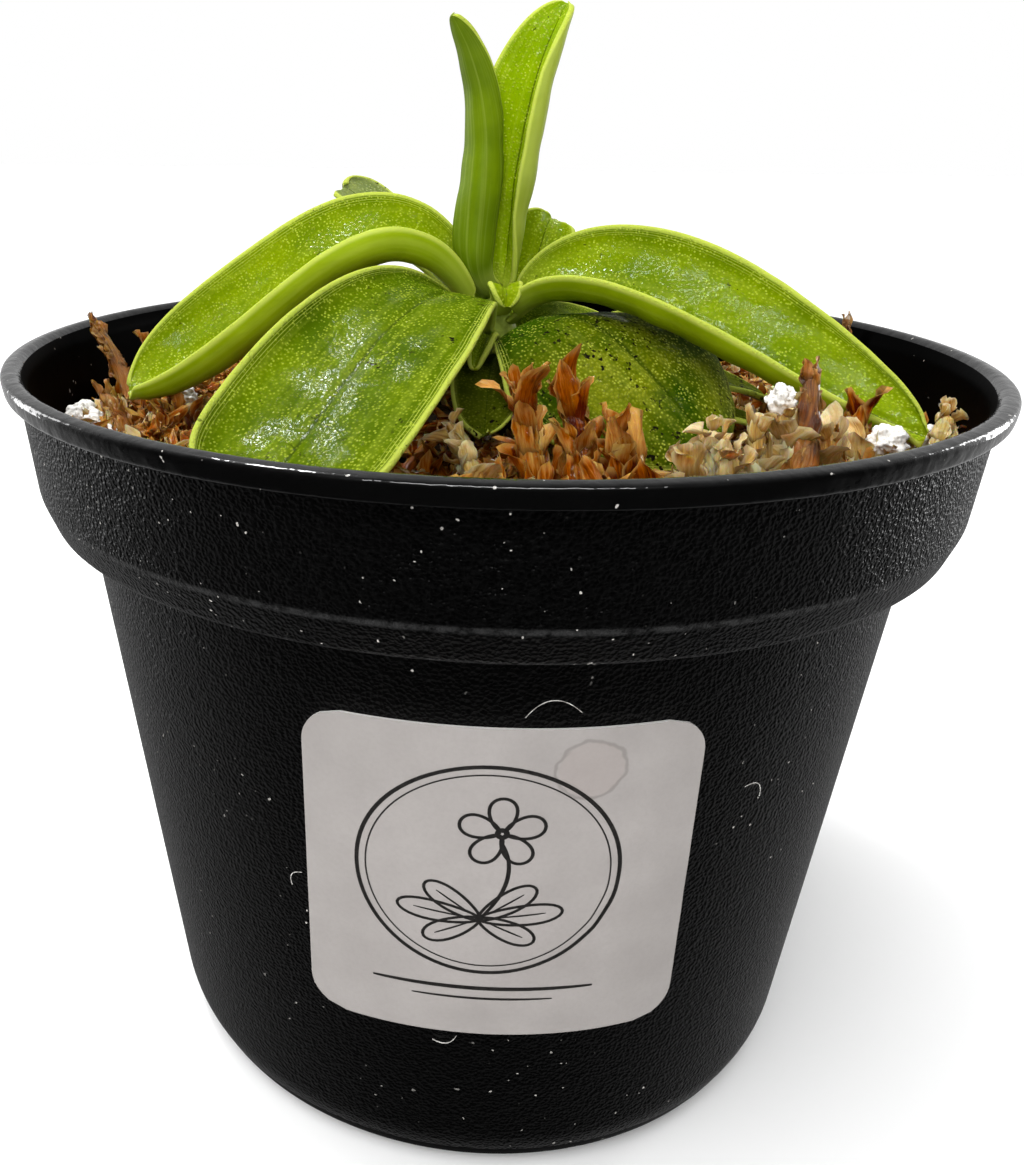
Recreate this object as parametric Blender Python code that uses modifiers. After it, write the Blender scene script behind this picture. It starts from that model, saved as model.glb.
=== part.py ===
"""Potted butterwort: a rosette of broad, sticky leaves growing in moss in a round plastic pot.

Everything is in metres with +Z up.  The origin is the middle of the pot's underside, the pot
stands on z = 0, and -Y is the side that faces the viewer, with the label on it.
Lengths below are written in millimetres and turned to metres by MM.
"""

import bpy
import bmesh
import math
from mathutils import Matrix, Vector, noise

MM = 0.001

# Driving sizes of the pot, in millimetres
POT_HEIGHT = 84.0
LIP_RADIUS = 57.0            # a 4.5 inch pot, measured over its lip
COLLAR_TOP_RADIUS = 55.2     # the collar flares slightly from its crease to the lip
COLLAR_CREASE = (53.8, 70.5)  # radius and height of the upper faint line round the collar
COLLAR_LOWER = (52.3, 66.9)   # radius and height of the collar's lower corner
BODY_TOP_RADIUS = 48.6
BODY_TOP = 66.0
BODY_BASE_RADIUS = 39.7
BASE_ROUNDING = 4.0
FOOT_RADIUS = 36.5
LIP_HEIGHT = 2.4
WALL = 1.1
FLOOR = 1.2
FOOT_STEP = 1.8              # the middle of the floor stands this much off the table
FOOT_INNER_RADIUS = 30.0
DRAIN_RADIUS = 3.6
DRAIN_CIRCLE = 21.0
DRAIN_COUNT = 6
DRAIN_SEGMENTS = 16
POT_SEGMENTS = 60

# The square paper label on the front of the pot
LABEL_SIDE = 38.0
LABEL_CORNER = 4.0
LABEL_MIDDLE_HEIGHT = 39.8
LABEL_TURN = 2.5             # degrees from the front towards +X
LABEL_THICKNESS = 0.4
LABEL_COLUMNS = 10
LABEL_MIDDLE_ROWS = 5        # rows of faces between the rounded corners
LABEL_FLAT_FACE_ALLOWANCE = 0.08  # the wall's flat faces cut inside its true radius

GAP = 0.3                    # clearance between pieces that touch on the real thing

# The moss that fills the pot
MOSS_LEVEL = 74.2
MOSS_MOUND = 5.2             # how far it rises under the crown
MOSS_MOUND_RADIUS = 11.0
MOSS_LUMP = 1.5              # height of its lumps
MOSS_SEGMENTS = 52
MOSS_RINGS = 12
MOSS_EDGE_INSET = 1.4        # the surface stops short of the wall and turns down
CLUMP_ROUGHNESS = 0.75       # how far the moss heads are pulled into points
CLUMP_SQUASH = 0.75          # height of a moss head as a share of its width
STRAND_ROOT = 3.0            # depth of a strand's foot under the surface
STRAND_BEND = 0.12           # sideways bow of a strand, as a share of its reach
STRAND_RINGS = 6
ROOM_ABOVE_RIM = 8.0         # the trimming space goes up past the tallest strand
LEDGE_GAP = GAP + 0.1        # clearance over the collar's sloping ledge
SEAT_CLEARANCE = 1.4 * GAP   # a grain's seat is this much larger than the grain
SEED = 12                    # picks the shapes of the moss heads and of the grains

# The crown: a short root stock that carries the leaves
CROWN_RADIUS = 2.6
CROWN_TOP = 90.2
CROWN_BOTTOM = 58.0

# The leaf blades
LEAF_THICKNESS = 0.9
SOFTEST_CURL = 1.5           # tightest radius that a blade curls to where it is narrow
TIP_FRACTION = 0.10          # width of the last row of a blade, as a share of its full width
TIP_CROWDING = 1.5           # rows stand closer together towards the tip
MARGIN_START = 0.7           # the outer part of a half blade rolls further than the rest


def clear_scene():
    for item in list(bpy.data.objects):
        bpy.data.objects.remove(item, do_unlink=True)


def make_collection(name):
    collection = bpy.data.collections.new(name)
    bpy.context.scene.collection.children.link(collection)
    return collection


def make_material(name, colour, roughness, metallic=0.0):
    material = bpy.data.materials.new(name)
    material.use_nodes = True
    shader = material.node_tree.nodes["Principled BSDF"]
    shader.inputs["Base Color"].default_value = (*colour, 1.0)
    shader.inputs["Roughness"].default_value = roughness
    shader.inputs["Metallic"].default_value = metallic
    material.diffuse_color = (*colour, 1.0)
    return material


def add_object(name, bm, collection, material):
    """Turn a bmesh into a named object with its faces pointing out."""
    mesh = bpy.data.meshes.new(name)
    bmesh.ops.recalc_face_normals(bm, faces=bm.faces)
    bm.to_mesh(mesh)
    bm.free()
    mesh.shade_smooth()
    piece = bpy.data.objects.new(name, mesh)
    piece.data.materials.append(material)
    collection.objects.link(piece)
    return piece


def apply_modifiers(piece):
    """Replace the object's mesh by the one its modifiers make."""
    graph = bpy.context.evaluated_depsgraph_get()
    mesh = bpy.data.meshes.new_from_object(piece.evaluated_get(graph))
    piece.modifiers.clear()
    piece.data = mesh
    mesh.shade_smooth()


def hide_cutter(cutter):
    cutter.hide_render = True
    cutter.display_type = "WIRE"


# The pot


def outer_wall_radius(height):
    """Radius of the body's outside below the collar, at a height in millimetres."""
    share = (height - BASE_ROUNDING) / (BODY_TOP - BASE_ROUNDING)
    return BODY_BASE_RADIUS + share * (BODY_TOP_RADIUS - BODY_BASE_RADIUS)


def pot_outside():
    """Radius and height pairs down the outside, from the lip to the foot."""
    lip_base = POT_HEIGHT - LIP_HEIGHT
    points = [
        (LIP_RADIUS - 1.5, POT_HEIGHT),
        (LIP_RADIUS - 0.5, POT_HEIGHT - 0.4),
        (LIP_RADIUS, POT_HEIGHT - 1.1),
        (LIP_RADIUS - 0.5, lip_base),
        (COLLAR_TOP_RADIUS, lip_base),
        COLLAR_CREASE,
        COLLAR_LOWER,
        (BODY_TOP_RADIUS, BODY_TOP),
        (BODY_BASE_RADIUS, BASE_ROUNDING),
    ]
    for step in (1, 2, 3):
        angle = math.radians(30 * step)
        points.append((FOOT_RADIUS + (BODY_BASE_RADIUS - FOOT_RADIUS) * math.cos(angle),
                       BASE_ROUNDING * (1 - math.sin(angle))))
    return points


def pot_inside():
    """Radius and height pairs up the inside, from the middle drain hole to the lip."""
    return [
        (FOOT_INNER_RADIUS, 0.0),
        (FOOT_INNER_RADIUS - 1.0, FOOT_STEP),
        (DRAIN_RADIUS, FOOT_STEP),
        (DRAIN_RADIUS, FOOT_STEP + FLOOR),
        (FOOT_INNER_RADIUS + 0.4, FOOT_STEP + FLOOR),
        (FOOT_INNER_RADIUS + 1.4, FLOOR),
        (FOOT_RADIUS - 0.5, FLOOR + 0.3),
        (BODY_BASE_RADIUS - WALL, BASE_ROUNDING + 0.6),
        (BODY_TOP_RADIUS - WALL, BODY_TOP + 0.9),
        (COLLAR_LOWER[0] - WALL, COLLAR_LOWER[1] + WALL),
        (COLLAR_CREASE[0] - WALL, COLLAR_CREASE[1] + 0.2),
        (COLLAR_TOP_RADIUS - WALL, POT_HEIGHT - LIP_HEIGHT + 0.4),
        (LIP_RADIUS - 2.2, POT_HEIGHT - 0.5),
    ]


def turn_profile(name, points, segments, collection, material):
    """Turn a closed outline of radius and height pairs about the Z axis."""
    bm = bmesh.new()
    corners = [bm.verts.new((radius * MM, 0.0, height * MM)) for radius, height in points]
    for first, second in zip(corners, corners[1:] + corners[:1]):
        bm.edges.new((first, second))
    mesh = bpy.data.meshes.new(name)
    bm.to_mesh(mesh)
    bm.free()
    piece = bpy.data.objects.new(name, mesh)
    piece.data.materials.append(material)
    collection.objects.link(piece)
    screw = piece.modifiers.new("turn", "SCREW")
    screw.axis = "Z"
    screw.angle = 2 * math.pi
    screw.steps = segments
    screw.render_steps = segments
    screw.use_merge_vertices = True
    screw.merge_threshold = 0.00001
    return piece


def build_pot(collection, cutters, material):
    outline = pot_outside() + pot_inside()
    pot = turn_profile("pot", outline, POT_SEGMENTS, collection, material)
    bm = bmesh.new()
    for number in range(DRAIN_COUNT):
        angle = 2 * math.pi * number / DRAIN_COUNT
        place = Matrix.Translation((DRAIN_CIRCLE * MM * math.cos(angle),
                                    DRAIN_CIRCLE * MM * math.sin(angle),
                                    (FOOT_STEP + FLOOR / 2) * MM))
        bmesh.ops.create_cone(bm, cap_ends=True, segments=DRAIN_SEGMENTS,
                              radius1=DRAIN_RADIUS * MM,
                              radius2=DRAIN_RADIUS * MM, depth=3 * FLOOR * MM,
                              matrix=place)
    drains = add_object("drain_cutter", bm, cutters, material)
    hide_cutter(drains)
    cut = pot.modifiers.new("drain holes", "BOOLEAN")
    cut.operation = "DIFFERENCE"
    cut.object = drains
    apply_modifiers(pot)
    pot.data.set_sharp_from_angle(angle=math.radians(35))
    return pot


# The label


def build_label(collection, material):
    """A square sheet with round corners, wrapped on the tapered wall."""
    rows = []
    for step in range(4):
        rows.append(LABEL_CORNER * (1 - math.cos(math.radians(30 * step))))
    for step in range(1, LABEL_MIDDLE_ROWS):
        rows.append(LABEL_CORNER + (LABEL_SIDE - 2 * LABEL_CORNER) * step / LABEL_MIDDLE_ROWS)
    rows += [LABEL_SIDE - height for height in reversed(rows[:4])]
    bm = bmesh.new()
    bmesh.ops.create_grid(bm, x_segments=LABEL_COLUMNS, y_segments=len(rows) - 1, size=0.5)
    slope = math.atan2(BODY_TOP_RADIUS - BODY_BASE_RADIUS, BODY_TOP - BASE_ROUNDING)
    stand_off = (GAP + LABEL_THICKNESS / 2 + LABEL_FLAT_FACE_ALLOWANCE) / math.cos(slope)
    for vert in bm.verts:
        across = vert.co.x * 2
        row = rows[round((vert.co.y + 0.5) * (len(rows) - 1))]
        inset = max(LABEL_CORNER - row, row - (LABEL_SIDE - LABEL_CORNER), 0.0)
        half_width = LABEL_SIDE / 2 - LABEL_CORNER + math.sqrt(LABEL_CORNER ** 2 - inset ** 2)
        height = LABEL_MIDDLE_HEIGHT + (row - LABEL_SIDE / 2) * math.cos(slope)
        radius = outer_wall_radius(height) + stand_off
        angle = math.radians(LABEL_TURN - 90) + across * half_width / radius
        vert.co = Vector((radius * math.cos(angle), radius * math.sin(angle), height)) * MM
    label = add_object("label", bm, collection, material)
    sheet = label.modifiers.new("paper", "SOLIDIFY")
    sheet.thickness = LABEL_THICKNESS * MM
    sheet.offset = 0.0
    return label


# The leaves


class Leaf:
    """One blade: where its midrib runs and how its two halves curl.

    heading   direction in plan, in degrees from +X turning towards +Y
    spine     four (reach, height) control points of the midrib, in millimetres
    sway      how far the tip drifts to the left of the heading
    width     widest measure from margin to margin, along the surface
    neck      width at the crown as a share of the full width
    shoulder  how fast the blade widens from the neck: smaller is faster
    widest    share of the length at which it is widest
    blunt     roundness of the tip: larger is blunter
    left      (curl, roll) of the left half in degrees, as seen from the crown looking out
    right     the same for the right half; positive curls the margin up
    bank      tilt of the blade about its midrib at the neck and at the tip, left side up
    """

    def __init__(self, name, heading, spine, width, left, right, bank=(0, 0), sway=0.0,
                 neck=0.3, shoulder=1.3, widest=0.55, blunt=2.2, rows=14, columns=8,
                 thickness=LEAF_THICKNESS):
        self.name = name
        self.heading = math.radians(heading)
        self.spine = spine
        self.width = width
        self.left = left
        self.right = right
        self.bank = bank
        self.sway = sway
        self.neck = neck
        self.shoulder = shoulder
        self.widest = widest
        self.blunt = blunt
        self.rows = rows
        self.columns = columns
        self.thickness = thickness

    def midrib(self, along):
        """Point of the midrib at a share of its length from the crown."""
        rest = 1 - along
        weights = (rest ** 3, 3 * rest ** 2 * along, 3 * rest * along ** 2, along ** 3)
        reach = sum(w * point[0] for w, point in zip(weights, self.spine))
        height = sum(w * point[1] for w, point in zip(weights, self.spine))
        drift = self.sway * along ** 2
        out = Vector((math.cos(self.heading), math.sin(self.heading), 0.0))
        aside = Vector((-out.y, out.x, 0.0))
        return out * reach + aside * drift + Vector((0.0, 0.0, height))

    def half_width(self, along):
        grow = math.sin(math.pi / 2 * min(along / self.widest, 1.0)) ** self.shoulder
        grow = self.neck + (1 - self.neck) * grow
        past = max(0.0, (along - self.widest) / (1 - self.widest))
        close = math.sqrt(max(1 - past ** self.blunt, 0.0))
        return self.width / 2 * grow * max(close, TIP_FRACTION)

    def section(self, across, half):
        """Offsets sideways and upwards of a point on the curled cross-section."""
        curl, roll = self.left if across >= 0 else self.right
        most = math.degrees(half / SOFTEST_CURL)
        ease = min(1.0, most / max(abs(curl) + abs(roll), 1.0))
        steps = 12
        side = lift = 0.0
        for step in range(steps):
            here = abs(across) * (step + 0.5) / steps
            margin = max(0.0, (here - MARGIN_START) / (1 - MARGIN_START))
            angle = math.radians((curl * here + roll * margin) * ease)
            side += math.cos(angle) * abs(across) / steps
            lift += math.sin(angle) * abs(across) / steps
        return math.copysign(side, across) * half, lift * half

    def point(self, along, across):
        """Point of the blade: along runs 0 to 1 to the tip, across -1 to 1 from right to left."""
        step = 0.001
        ahead = self.midrib(min(along + step, 1.0))
        behind = self.midrib(max(along - step, 0.0))
        tangent = (ahead - behind).normalized()
        level = Vector((-math.sin(self.heading), math.cos(self.heading), 0.0))
        aside = (level - tangent * level.dot(tangent)).normalized()
        upward = tangent.cross(aside)
        tilt = math.radians(self.bank[0] + (self.bank[1] - self.bank[0]) * along)
        left = aside * math.cos(tilt) + upward * math.sin(tilt)
        top = upward * math.cos(tilt) - aside * math.sin(tilt)
        side, lift = self.section(across, self.half_width(along))
        return self.midrib(along) + left * side + top * lift


LEAVES = [
    # The youngest pair stands upright in the middle
    Leaf("leaf_upright_front", -131, [(1.8, 91.0), (9.0, 95.5), (-3.5, 107.0), (5.0, 121.2)], 7.8,
         left=(115, 34), right=(65, 44), bank=(37, 5), sway=-3.3, neck=0.34, widest=0.4, blunt=1.5,
         columns=8),
    Leaf("leaf_upright_back", 55, [(1.8, 91.0), (1.8, 97.0), (1.1, 113.5), (6.3, 122.8)], 12.0,
         left=(38, 0), right=(80, 110), bank=(0, 4), sway=-4.0, neck=0.2, widest=0.52, blunt=1.6,
         columns=10),
    Leaf("leaf_curled_small", -79, [(3.4, 89.7), (4.4, 92.3), (6.2, 92.2), (6.6, 89.6)], 3.6,
         left=(30, 0), right=(30, 0), neck=0.5, widest=0.5, rows=8, columns=6, thickness=0.7),
    Leaf("leaf_small_right_back", 44, [(3.2, 88.8), (6.7, 92.0), (7.8, 98.6), (9.0, 98.6)], 9.0,
         left=(38, 0), right=(10, 0), bank=(2, 19), neck=0.3, widest=0.5, blunt=2.1,
         rows=9, columns=6, thickness=0.8),
    Leaf("leaf_small_left_back", 131, [(3.3, 87.4), (10.0, 92.6), (27.0, 100.4), (27.8, 101.4)], 9.4,
         left=(23, -20), right=(15, 14), bank=(-3, 5), sway=3.3, neck=0.3, widest=0.75, blunt=2.9,
         rows=11, columns=6, thickness=0.8),
    # The long and the broad leaves that the eye meets first
    Leaf("leaf_long_left", -174, [(3.8, 89.4), (15.0, 106.0), (26.0, 81.0), (44.0, 78.4)], 20.3,
         left=(100, 50), right=(30, 13), bank=(-24, -42), sway=1.5, neck=0.3, shoulder=0.62,
         widest=0.5, blunt=3.2, rows=16, columns=10),
    Leaf("leaf_long_right", -23, [(3.2, 88.4), (13.7, 98.3), (32.2, 83.0), (48.6, 78.5)], 18.0,
         left=(34, 22), right=(98, 25), bank=(34, 42), sway=1.8, neck=0.2, shoulder=0.45,
         widest=0.45, blunt=1.6, rows=16, columns=10),
    Leaf("leaf_broad_front_left", -117, [(3.6, 86.9), (15.0, 98.6), (29.0, 86.2), (47.5, 76.0)], 21.5,
         left=(-3, -3), right=(24, 46), bank=(-8, 4), neck=0.14, shoulder=0.9, widest=0.8, blunt=3.5,
         rows=16, columns=12),
    Leaf("leaf_broad_front_right", -50, [(3.3, 85.0), (14.0, 92.8), (18.0, 88.5), (30.6, 77.0)], 30.0,
         left=(-24, -24), right=(-34, 0), bank=(-2, 12), sway=5.0, neck=0.14, shoulder=0.9, widest=0.6,
         blunt=2.0, rows=14, columns=12),
    # Small leaves between and under the broad ones
    Leaf("leaf_narrow_front", -98, [(3.3, 85.1), (6.0, 86.2), (10.0, 87.2), (15.0, 84.0)], 2.4,
         left=(25, 0), right=(25, 0), neck=0.5, widest=0.5, rows=8, columns=4, thickness=0.7),
    Leaf("leaf_low_front", -92, [(3.3, 82.8), (8.0, 84.6), (15.0, 83.2), (21.5, 78.4)], 8.0,
         left=(-15, 0), right=(15, 0), bank=(0, 10), neck=0.35, widest=0.55, rows=9, columns=6,
         thickness=0.8),
    Leaf("leaf_low_right", -6, [(3.3, 82.4), (12.0, 84.0), (22.0, 82.6), (32.0, 79.0)], 10.5,
         left=(15, 0), right=(15, 0), neck=0.3, widest=0.55, rows=11, columns=6, thickness=0.8),
    Leaf("leaf_low_right_inner", -21, [(3.3, 80.6), (11.0, 80.2), (22.0, 80.0), (33.5, 77.4)], 8.0,
         left=(12, 0), right=(12, 0), neck=0.3, widest=0.55, rows=11, columns=6, thickness=0.8),
    # The far side of the rosette, which the photograph hides
    Leaf("leaf_back", 88, [(3.3, 85.6), (12.0, 92.0), (26.0, 89.0), (40.0, 77.6)], 19.0,
         left=(35, 12), right=(30, 10), neck=0.18, shoulder=0.9, blunt=2.6),
    Leaf("leaf_back_right", 47, [(3.3, 83.6), (12.0, 86.6), (25.0, 85.0), (38.0, 77.4)], 17.0,
         left=(28, 10), right=(32, 12), neck=0.18, shoulder=0.9, blunt=2.5),
    Leaf("leaf_back_left", 144, [(3.3, 83.6), (12.0, 86.6), (25.0, 85.0), (38.5, 77.4)], 18.0,
         left=(30, 10), right=(28, 12), neck=0.18, shoulder=0.9, blunt=2.6),
]


def build_leaf(leaf, collection, material):
    """A grid laid on the blade's surface, split into triangles and given its thickness."""
    bm = bmesh.new()
    bmesh.ops.create_grid(bm, x_segments=leaf.rows, y_segments=leaf.columns, size=0.5)
    half = max(vert.co.x for vert in bm.verts)
    for vert in bm.verts:
        share = (vert.co.x / half + 1) / 2
        along = 1 - (1 - share) ** TIP_CROWDING
        vert.co = leaf.point(along, vert.co.y / half) * MM
    blade = add_object(leaf.name, bm, collection, material)
    blade.modifiers.new("split", "TRIANGULATE")
    body = blade.modifiers.new("thickness", "SOLIDIFY")
    body.thickness = leaf.thickness * MM
    body.offset = 0.0
    return blade


# Round bodies made from a sphere


def sphere_along(profile, segments):
    """A closed body of revolution: the rings of a UV sphere moved to (radius, height) pairs.

    The first and last pair lie on the axis.
    """
    bm = bmesh.new()
    bmesh.ops.create_uvsphere(bm, u_segments=segments, v_segments=len(profile) - 1, radius=1.0)
    for vert in bm.verts:
        polar = math.acos(max(-1.0, min(1.0, -vert.co.z)))
        ring = round(polar / math.pi * (len(profile) - 1))
        radius, height = profile[ring]
        turn = math.atan2(vert.co.y, vert.co.x)
        vert.co = Vector((radius * math.cos(turn), radius * math.sin(turn), height)) * MM
    return bm


def build_crown(collection, material):
    """The root stock, thickest where the leaves spring from it and pointed below."""
    profile = [
        (0.0, CROWN_BOTTOM),
        (0.9, CROWN_BOTTOM + 3.0),
        (1.6, CROWN_BOTTOM + 12.0),
        (2.2, MOSS_LEVEL + 4.0),
        (CROWN_RADIUS, CROWN_TOP - 6.0),
        (CROWN_RADIUS, CROWN_TOP - 2.5),
        (CROWN_RADIUS - 0.9, CROWN_TOP - 0.6),
        (0.0, CROWN_TOP),
    ]
    bm = sphere_along(profile, segments=12)
    return add_object("crown", bm, collection, material)


# The moss


def moss_height(x, y):
    """Height of the moss bed at a place in plan, in millimetres."""
    radius = math.hypot(x, y)
    mound = MOSS_MOUND * math.exp(-(radius / MOSS_MOUND_RADIUS) ** 2)
    broad = noise.noise(Vector((x / 6.5, y / 6.5, 0.3)))
    fine = noise.noise(Vector((x / 2.8, y / 2.8, 4.1)))
    return MOSS_LEVEL + mound + MOSS_LUMP * (broad + 0.5 * fine)


def inner_radius(height):
    """Radius of the pot's inside at a height, less the clearance."""
    wall = [(FLOOR + 0.3, FOOT_RADIUS - 0.5), (BASE_ROUNDING + 0.6, BODY_BASE_RADIUS - WALL),
            (BODY_TOP + 0.9, BODY_TOP_RADIUS - WALL),
            (COLLAR_LOWER[1] + WALL, COLLAR_LOWER[0] - WALL),
            (COLLAR_CREASE[1] + 0.2, COLLAR_CREASE[0] - WALL),
            (POT_HEIGHT - LIP_HEIGHT + 0.4, COLLAR_TOP_RADIUS - WALL)]
    for (low, r_low), (high, r_high) in zip(wall, wall[1:]):
        if height <= high:
            return r_low + (r_high - r_low) * (height - low) / (high - low) - GAP
    return wall[-1][1] - GAP


def pot_room_mesh():
    """The space inside the pot, less the clearance, carried up past the rim."""
    foot = FOOT_STEP + FLOOR
    top = POT_HEIGHT + ROOM_ABOVE_RIM
    profile = [
        (0.0, foot),
        (FOOT_INNER_RADIUS + 1.0, foot),
        (inner_radius(BASE_ROUNDING + 0.6), BASE_ROUNDING + 0.6),
        (BODY_TOP_RADIUS - WALL - GAP, BODY_TOP + 0.9 + LEDGE_GAP),
        (COLLAR_LOWER[0] - WALL - GAP, COLLAR_LOWER[1] + WALL + LEDGE_GAP),
        (inner_radius(COLLAR_CREASE[1] + 0.2), COLLAR_CREASE[1] + 0.2),
        (COLLAR_TOP_RADIUS - WALL - GAP, top),
        (0.0, top),
    ]
    return sphere_along(profile, POT_SEGMENTS)


def build_moss_bed(collection, material):
    """The filling up to the moss surface, which is raised into lumps."""
    floor_top = FOOT_STEP + FLOOR + GAP
    side = [floor_top + 2.2, BODY_TOP - 0.4, COLLAR_LOWER[1] + WALL + 1.2, MOSS_LEVEL - 1.4]
    profile = [(0.0, floor_top), (FOOT_INNER_RADIUS, floor_top)]
    profile += [(inner_radius(height) - 0.4, height) for height in side]
    edge = inner_radius(MOSS_LEVEL) - MOSS_EDGE_INSET
    profile += [(edge * (1 - ring / MOSS_RINGS), MOSS_LEVEL) for ring in range(MOSS_RINGS + 1)]
    bm = sphere_along(profile, MOSS_SEGMENTS)
    for vert in bm.verts:
        if vert.co.z > (MOSS_LEVEL - 0.1) * MM:
            vert.co.z = moss_height(vert.co.x / MM, vert.co.y / MM) * MM
    return add_object("moss_bed", bm, collection, material)


# Strands that stand out of the moss: foot, tip, radius at the foot and at the tip
STRANDS = [
    ((-45.5, 3.0), (-52.0, 6.5, 84.2), 1.5, 0.45),
    ((-41.5, 9.0), (-46.5, 12.0, 81.0), 1.4, 0.5),
    ((46.5, 21.0), (49.0, 23.0, 84.0), 1.5, 0.8),
    ((27.0, -34.0), (30.4, -27.0, 87.2), 1.9, 0.9),
    ((4.5, -31.0), (2.6, -28.5, 86.0), 2.0, 0.6),
    ((9.0, -31.0), (7.2, -26.5, 85.6), 2.2, 0.8),
    ((13.5, -33.0), (12.0, -30.5, 82.6), 2.2, 0.9),
    ((-1.0, -33.0), (-4.2, -26.0, 80.6), 1.8, 0.6),
    ((21.5, -33.0), (20.5, -32.0, 82.4), 2.2, 1.0),
    ((-37.5, -5.0), (-40.5, -3.0, 79.2), 2.0, 0.8),
    ((-42.0, -14.0), (-44.5, -12.0, 79.4), 2.0, 0.9),
    ((36.0, -22.0), (37.5, -20.5, 80.8), 2.0, 0.8),
    ((46.0, -18.0), (48.0, -15.5, 80.6), 1.8, 0.8),
    ((-20.0, 39.0), (-22.0, 42.5, 81.0), 1.6, 0.6),
    ((22.0, 38.0), (25.5, 42.0, 80.4), 1.7, 0.6),
    ((3.0, 46.0), (1.0, 48.5, 81.5), 1.5, 0.6),
    ((-42.5, 25.0), (-45.0, 27.0, 80.0), 1.7, 0.7),
]

# Clumps of moss heads: place in plan, radius, and height above the bed
CLUMPS = [
    (3.0, -37.0, 4.6, 2.6), (10.5, -37.0, 5.0, 3.0), (17.5, -37.5, 4.4, 2.6),
    (-4.0, -38.5, 4.2, 1.6), (24.0, -34.0, 4.6, 3.2), (31.0, -30.5, 4.4, 2.8),
    (37.0, -25.0, 4.2, 2.4), (42.5, -18.0, 4.4, 2.2), (47.0, -8.0, 3.6, 1.8),
    (-44.5, -5.0, 4.4, 1.4), (-38.0, -10.0, 4.2, 1.8), (-36.0, -26.0, 4.0, 1.2),
    (-45.0, 14.0, 4.0, 1.4), (-33.0, 31.0, 4.4, 1.6), (-11.0, 45.0, 4.2, 1.6),
    (13.0, 44.0, 4.4, 1.8), (33.0, 32.0, 4.4, 1.6), (46.0, 12.0, 4.2, 1.2),
    (0.0, -24.0, 4.4, 1.2), (30.0, 14.0, 4.6, 1.2), (-28.0, 6.0, 4.8, 1.2),
]


def strand_mesh(foot, tip, thick, thin):
    """A tapered, slightly bent moss stem, rooted well below the bed's surface."""
    start = Vector((foot[0], foot[1], moss_height(*foot) - STRAND_ROOT))
    end = Vector(tip)
    lean = (end - start).cross(Vector((0.0, 0.0, 1.0))) * STRAND_BEND
    curve = bpy.data.curves.new("strand", "CURVE")
    curve.dimensions = "3D"
    curve.bevel_depth = MM
    curve.bevel_resolution = 1
    curve.use_fill_caps = True
    spline = curve.splines.new("POLY")
    spline.points.add(STRAND_RINGS - 1)
    for number, point in enumerate(spline.points):
        share = number / (STRAND_RINGS - 1)
        bend = math.sin(math.pi * share)
        knuckle = 1.0 + 0.18 * math.cos(7.0 * share + foot[0])
        point.co = (*((start.lerp(end, share) + lean * bend) * MM), 1.0)
        point.radius = (thick + (thin - thick) * share) * knuckle
    holder = bpy.data.objects.new("strand", curve)
    bpy.context.scene.collection.objects.link(holder)
    bpy.context.view_layer.update()
    graph = bpy.context.evaluated_depsgraph_get()
    mesh = bpy.data.meshes.new_from_object(holder.evaluated_get(graph))
    bpy.data.objects.remove(holder, do_unlink=True)
    bpy.data.curves.remove(curve)
    bm = bmesh.new()
    bm.from_mesh(mesh)
    bpy.data.meshes.remove(mesh)
    bmesh.ops.remove_doubles(bm, verts=bm.verts, dist=0.00001)
    return bm


def clump_mesh(x, y, radius, rise, seed):
    """A rough head of moss: a sphere pulled into blunt points."""
    bm = bmesh.new()
    bmesh.ops.create_icosphere(bm, subdivisions=2, radius=1.0)
    top = moss_height(x, y) + rise
    for vert in bm.verts:
        way = vert.co.normalized()
        spike = noise.noise(way * 2.4 + Vector((seed, seed * 0.7, 0.0)))
        size = radius * (0.84 + CLUMP_ROUGHNESS * spike)
        lift = CLUMP_SQUASH * (way.z * size - radius)
        vert.co = Vector((x + way.x * size, y + way.y * size, top + lift)) * MM
    return bm


def build_moss(collection, cutters, material):
    """The bed, with the clumps and the strands fused to it and a hole for the root stock."""
    bed = build_moss_bed(collection, material)
    extras = make_collection("moss_extras")
    for number, strand in enumerate(STRANDS):
        add_object(f"strand_{number}", strand_mesh(*strand), extras, material)
    for number, (x, y, radius, rise) in enumerate(CLUMPS):
        bm = clump_mesh(x, y, radius, rise, SEED + number * 3.7)
        add_object(f"clump_{number}", bm, extras, material)
    join = bed.modifiers.new("grown together", "BOOLEAN")
    join.operation = "UNION"
    join.operand_type = "COLLECTION"
    join.collection = extras
    room = add_object("pot_room", pot_room_mesh(), cutters, material)
    hide_cutter(room)
    trim = bed.modifiers.new("pressed to the wall", "BOOLEAN")
    trim.operation = "INTERSECT"
    trim.object = room
    apply_modifiers(bed)
    for piece in list(extras.objects):
        bpy.data.objects.remove(piece, do_unlink=True)
    bpy.data.collections.remove(extras)

    bm = bmesh.new()
    hole_bottom = CROWN_BOTTOM - GAP - 0.2
    hole_top = MOSS_LEVEL + MOSS_MOUND + 4.0
    place = Matrix.Translation((0.0, 0.0, (hole_bottom + hole_top) / 2 * MM))
    bmesh.ops.create_cone(bm, cap_ends=True, segments=12, radius1=(CROWN_RADIUS + GAP) * MM,
                          radius2=(CROWN_RADIUS + GAP) * MM,
                          depth=(hole_top - hole_bottom) * MM, matrix=place)
    cutter = add_object("root_hole_cutter", bm, cutters, material)
    hide_cutter(cutter)
    hole = bed.modifiers.new("root hole", "BOOLEAN")
    hole.operation = "DIFFERENCE"
    hole.object = cutter
    return bed


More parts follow.
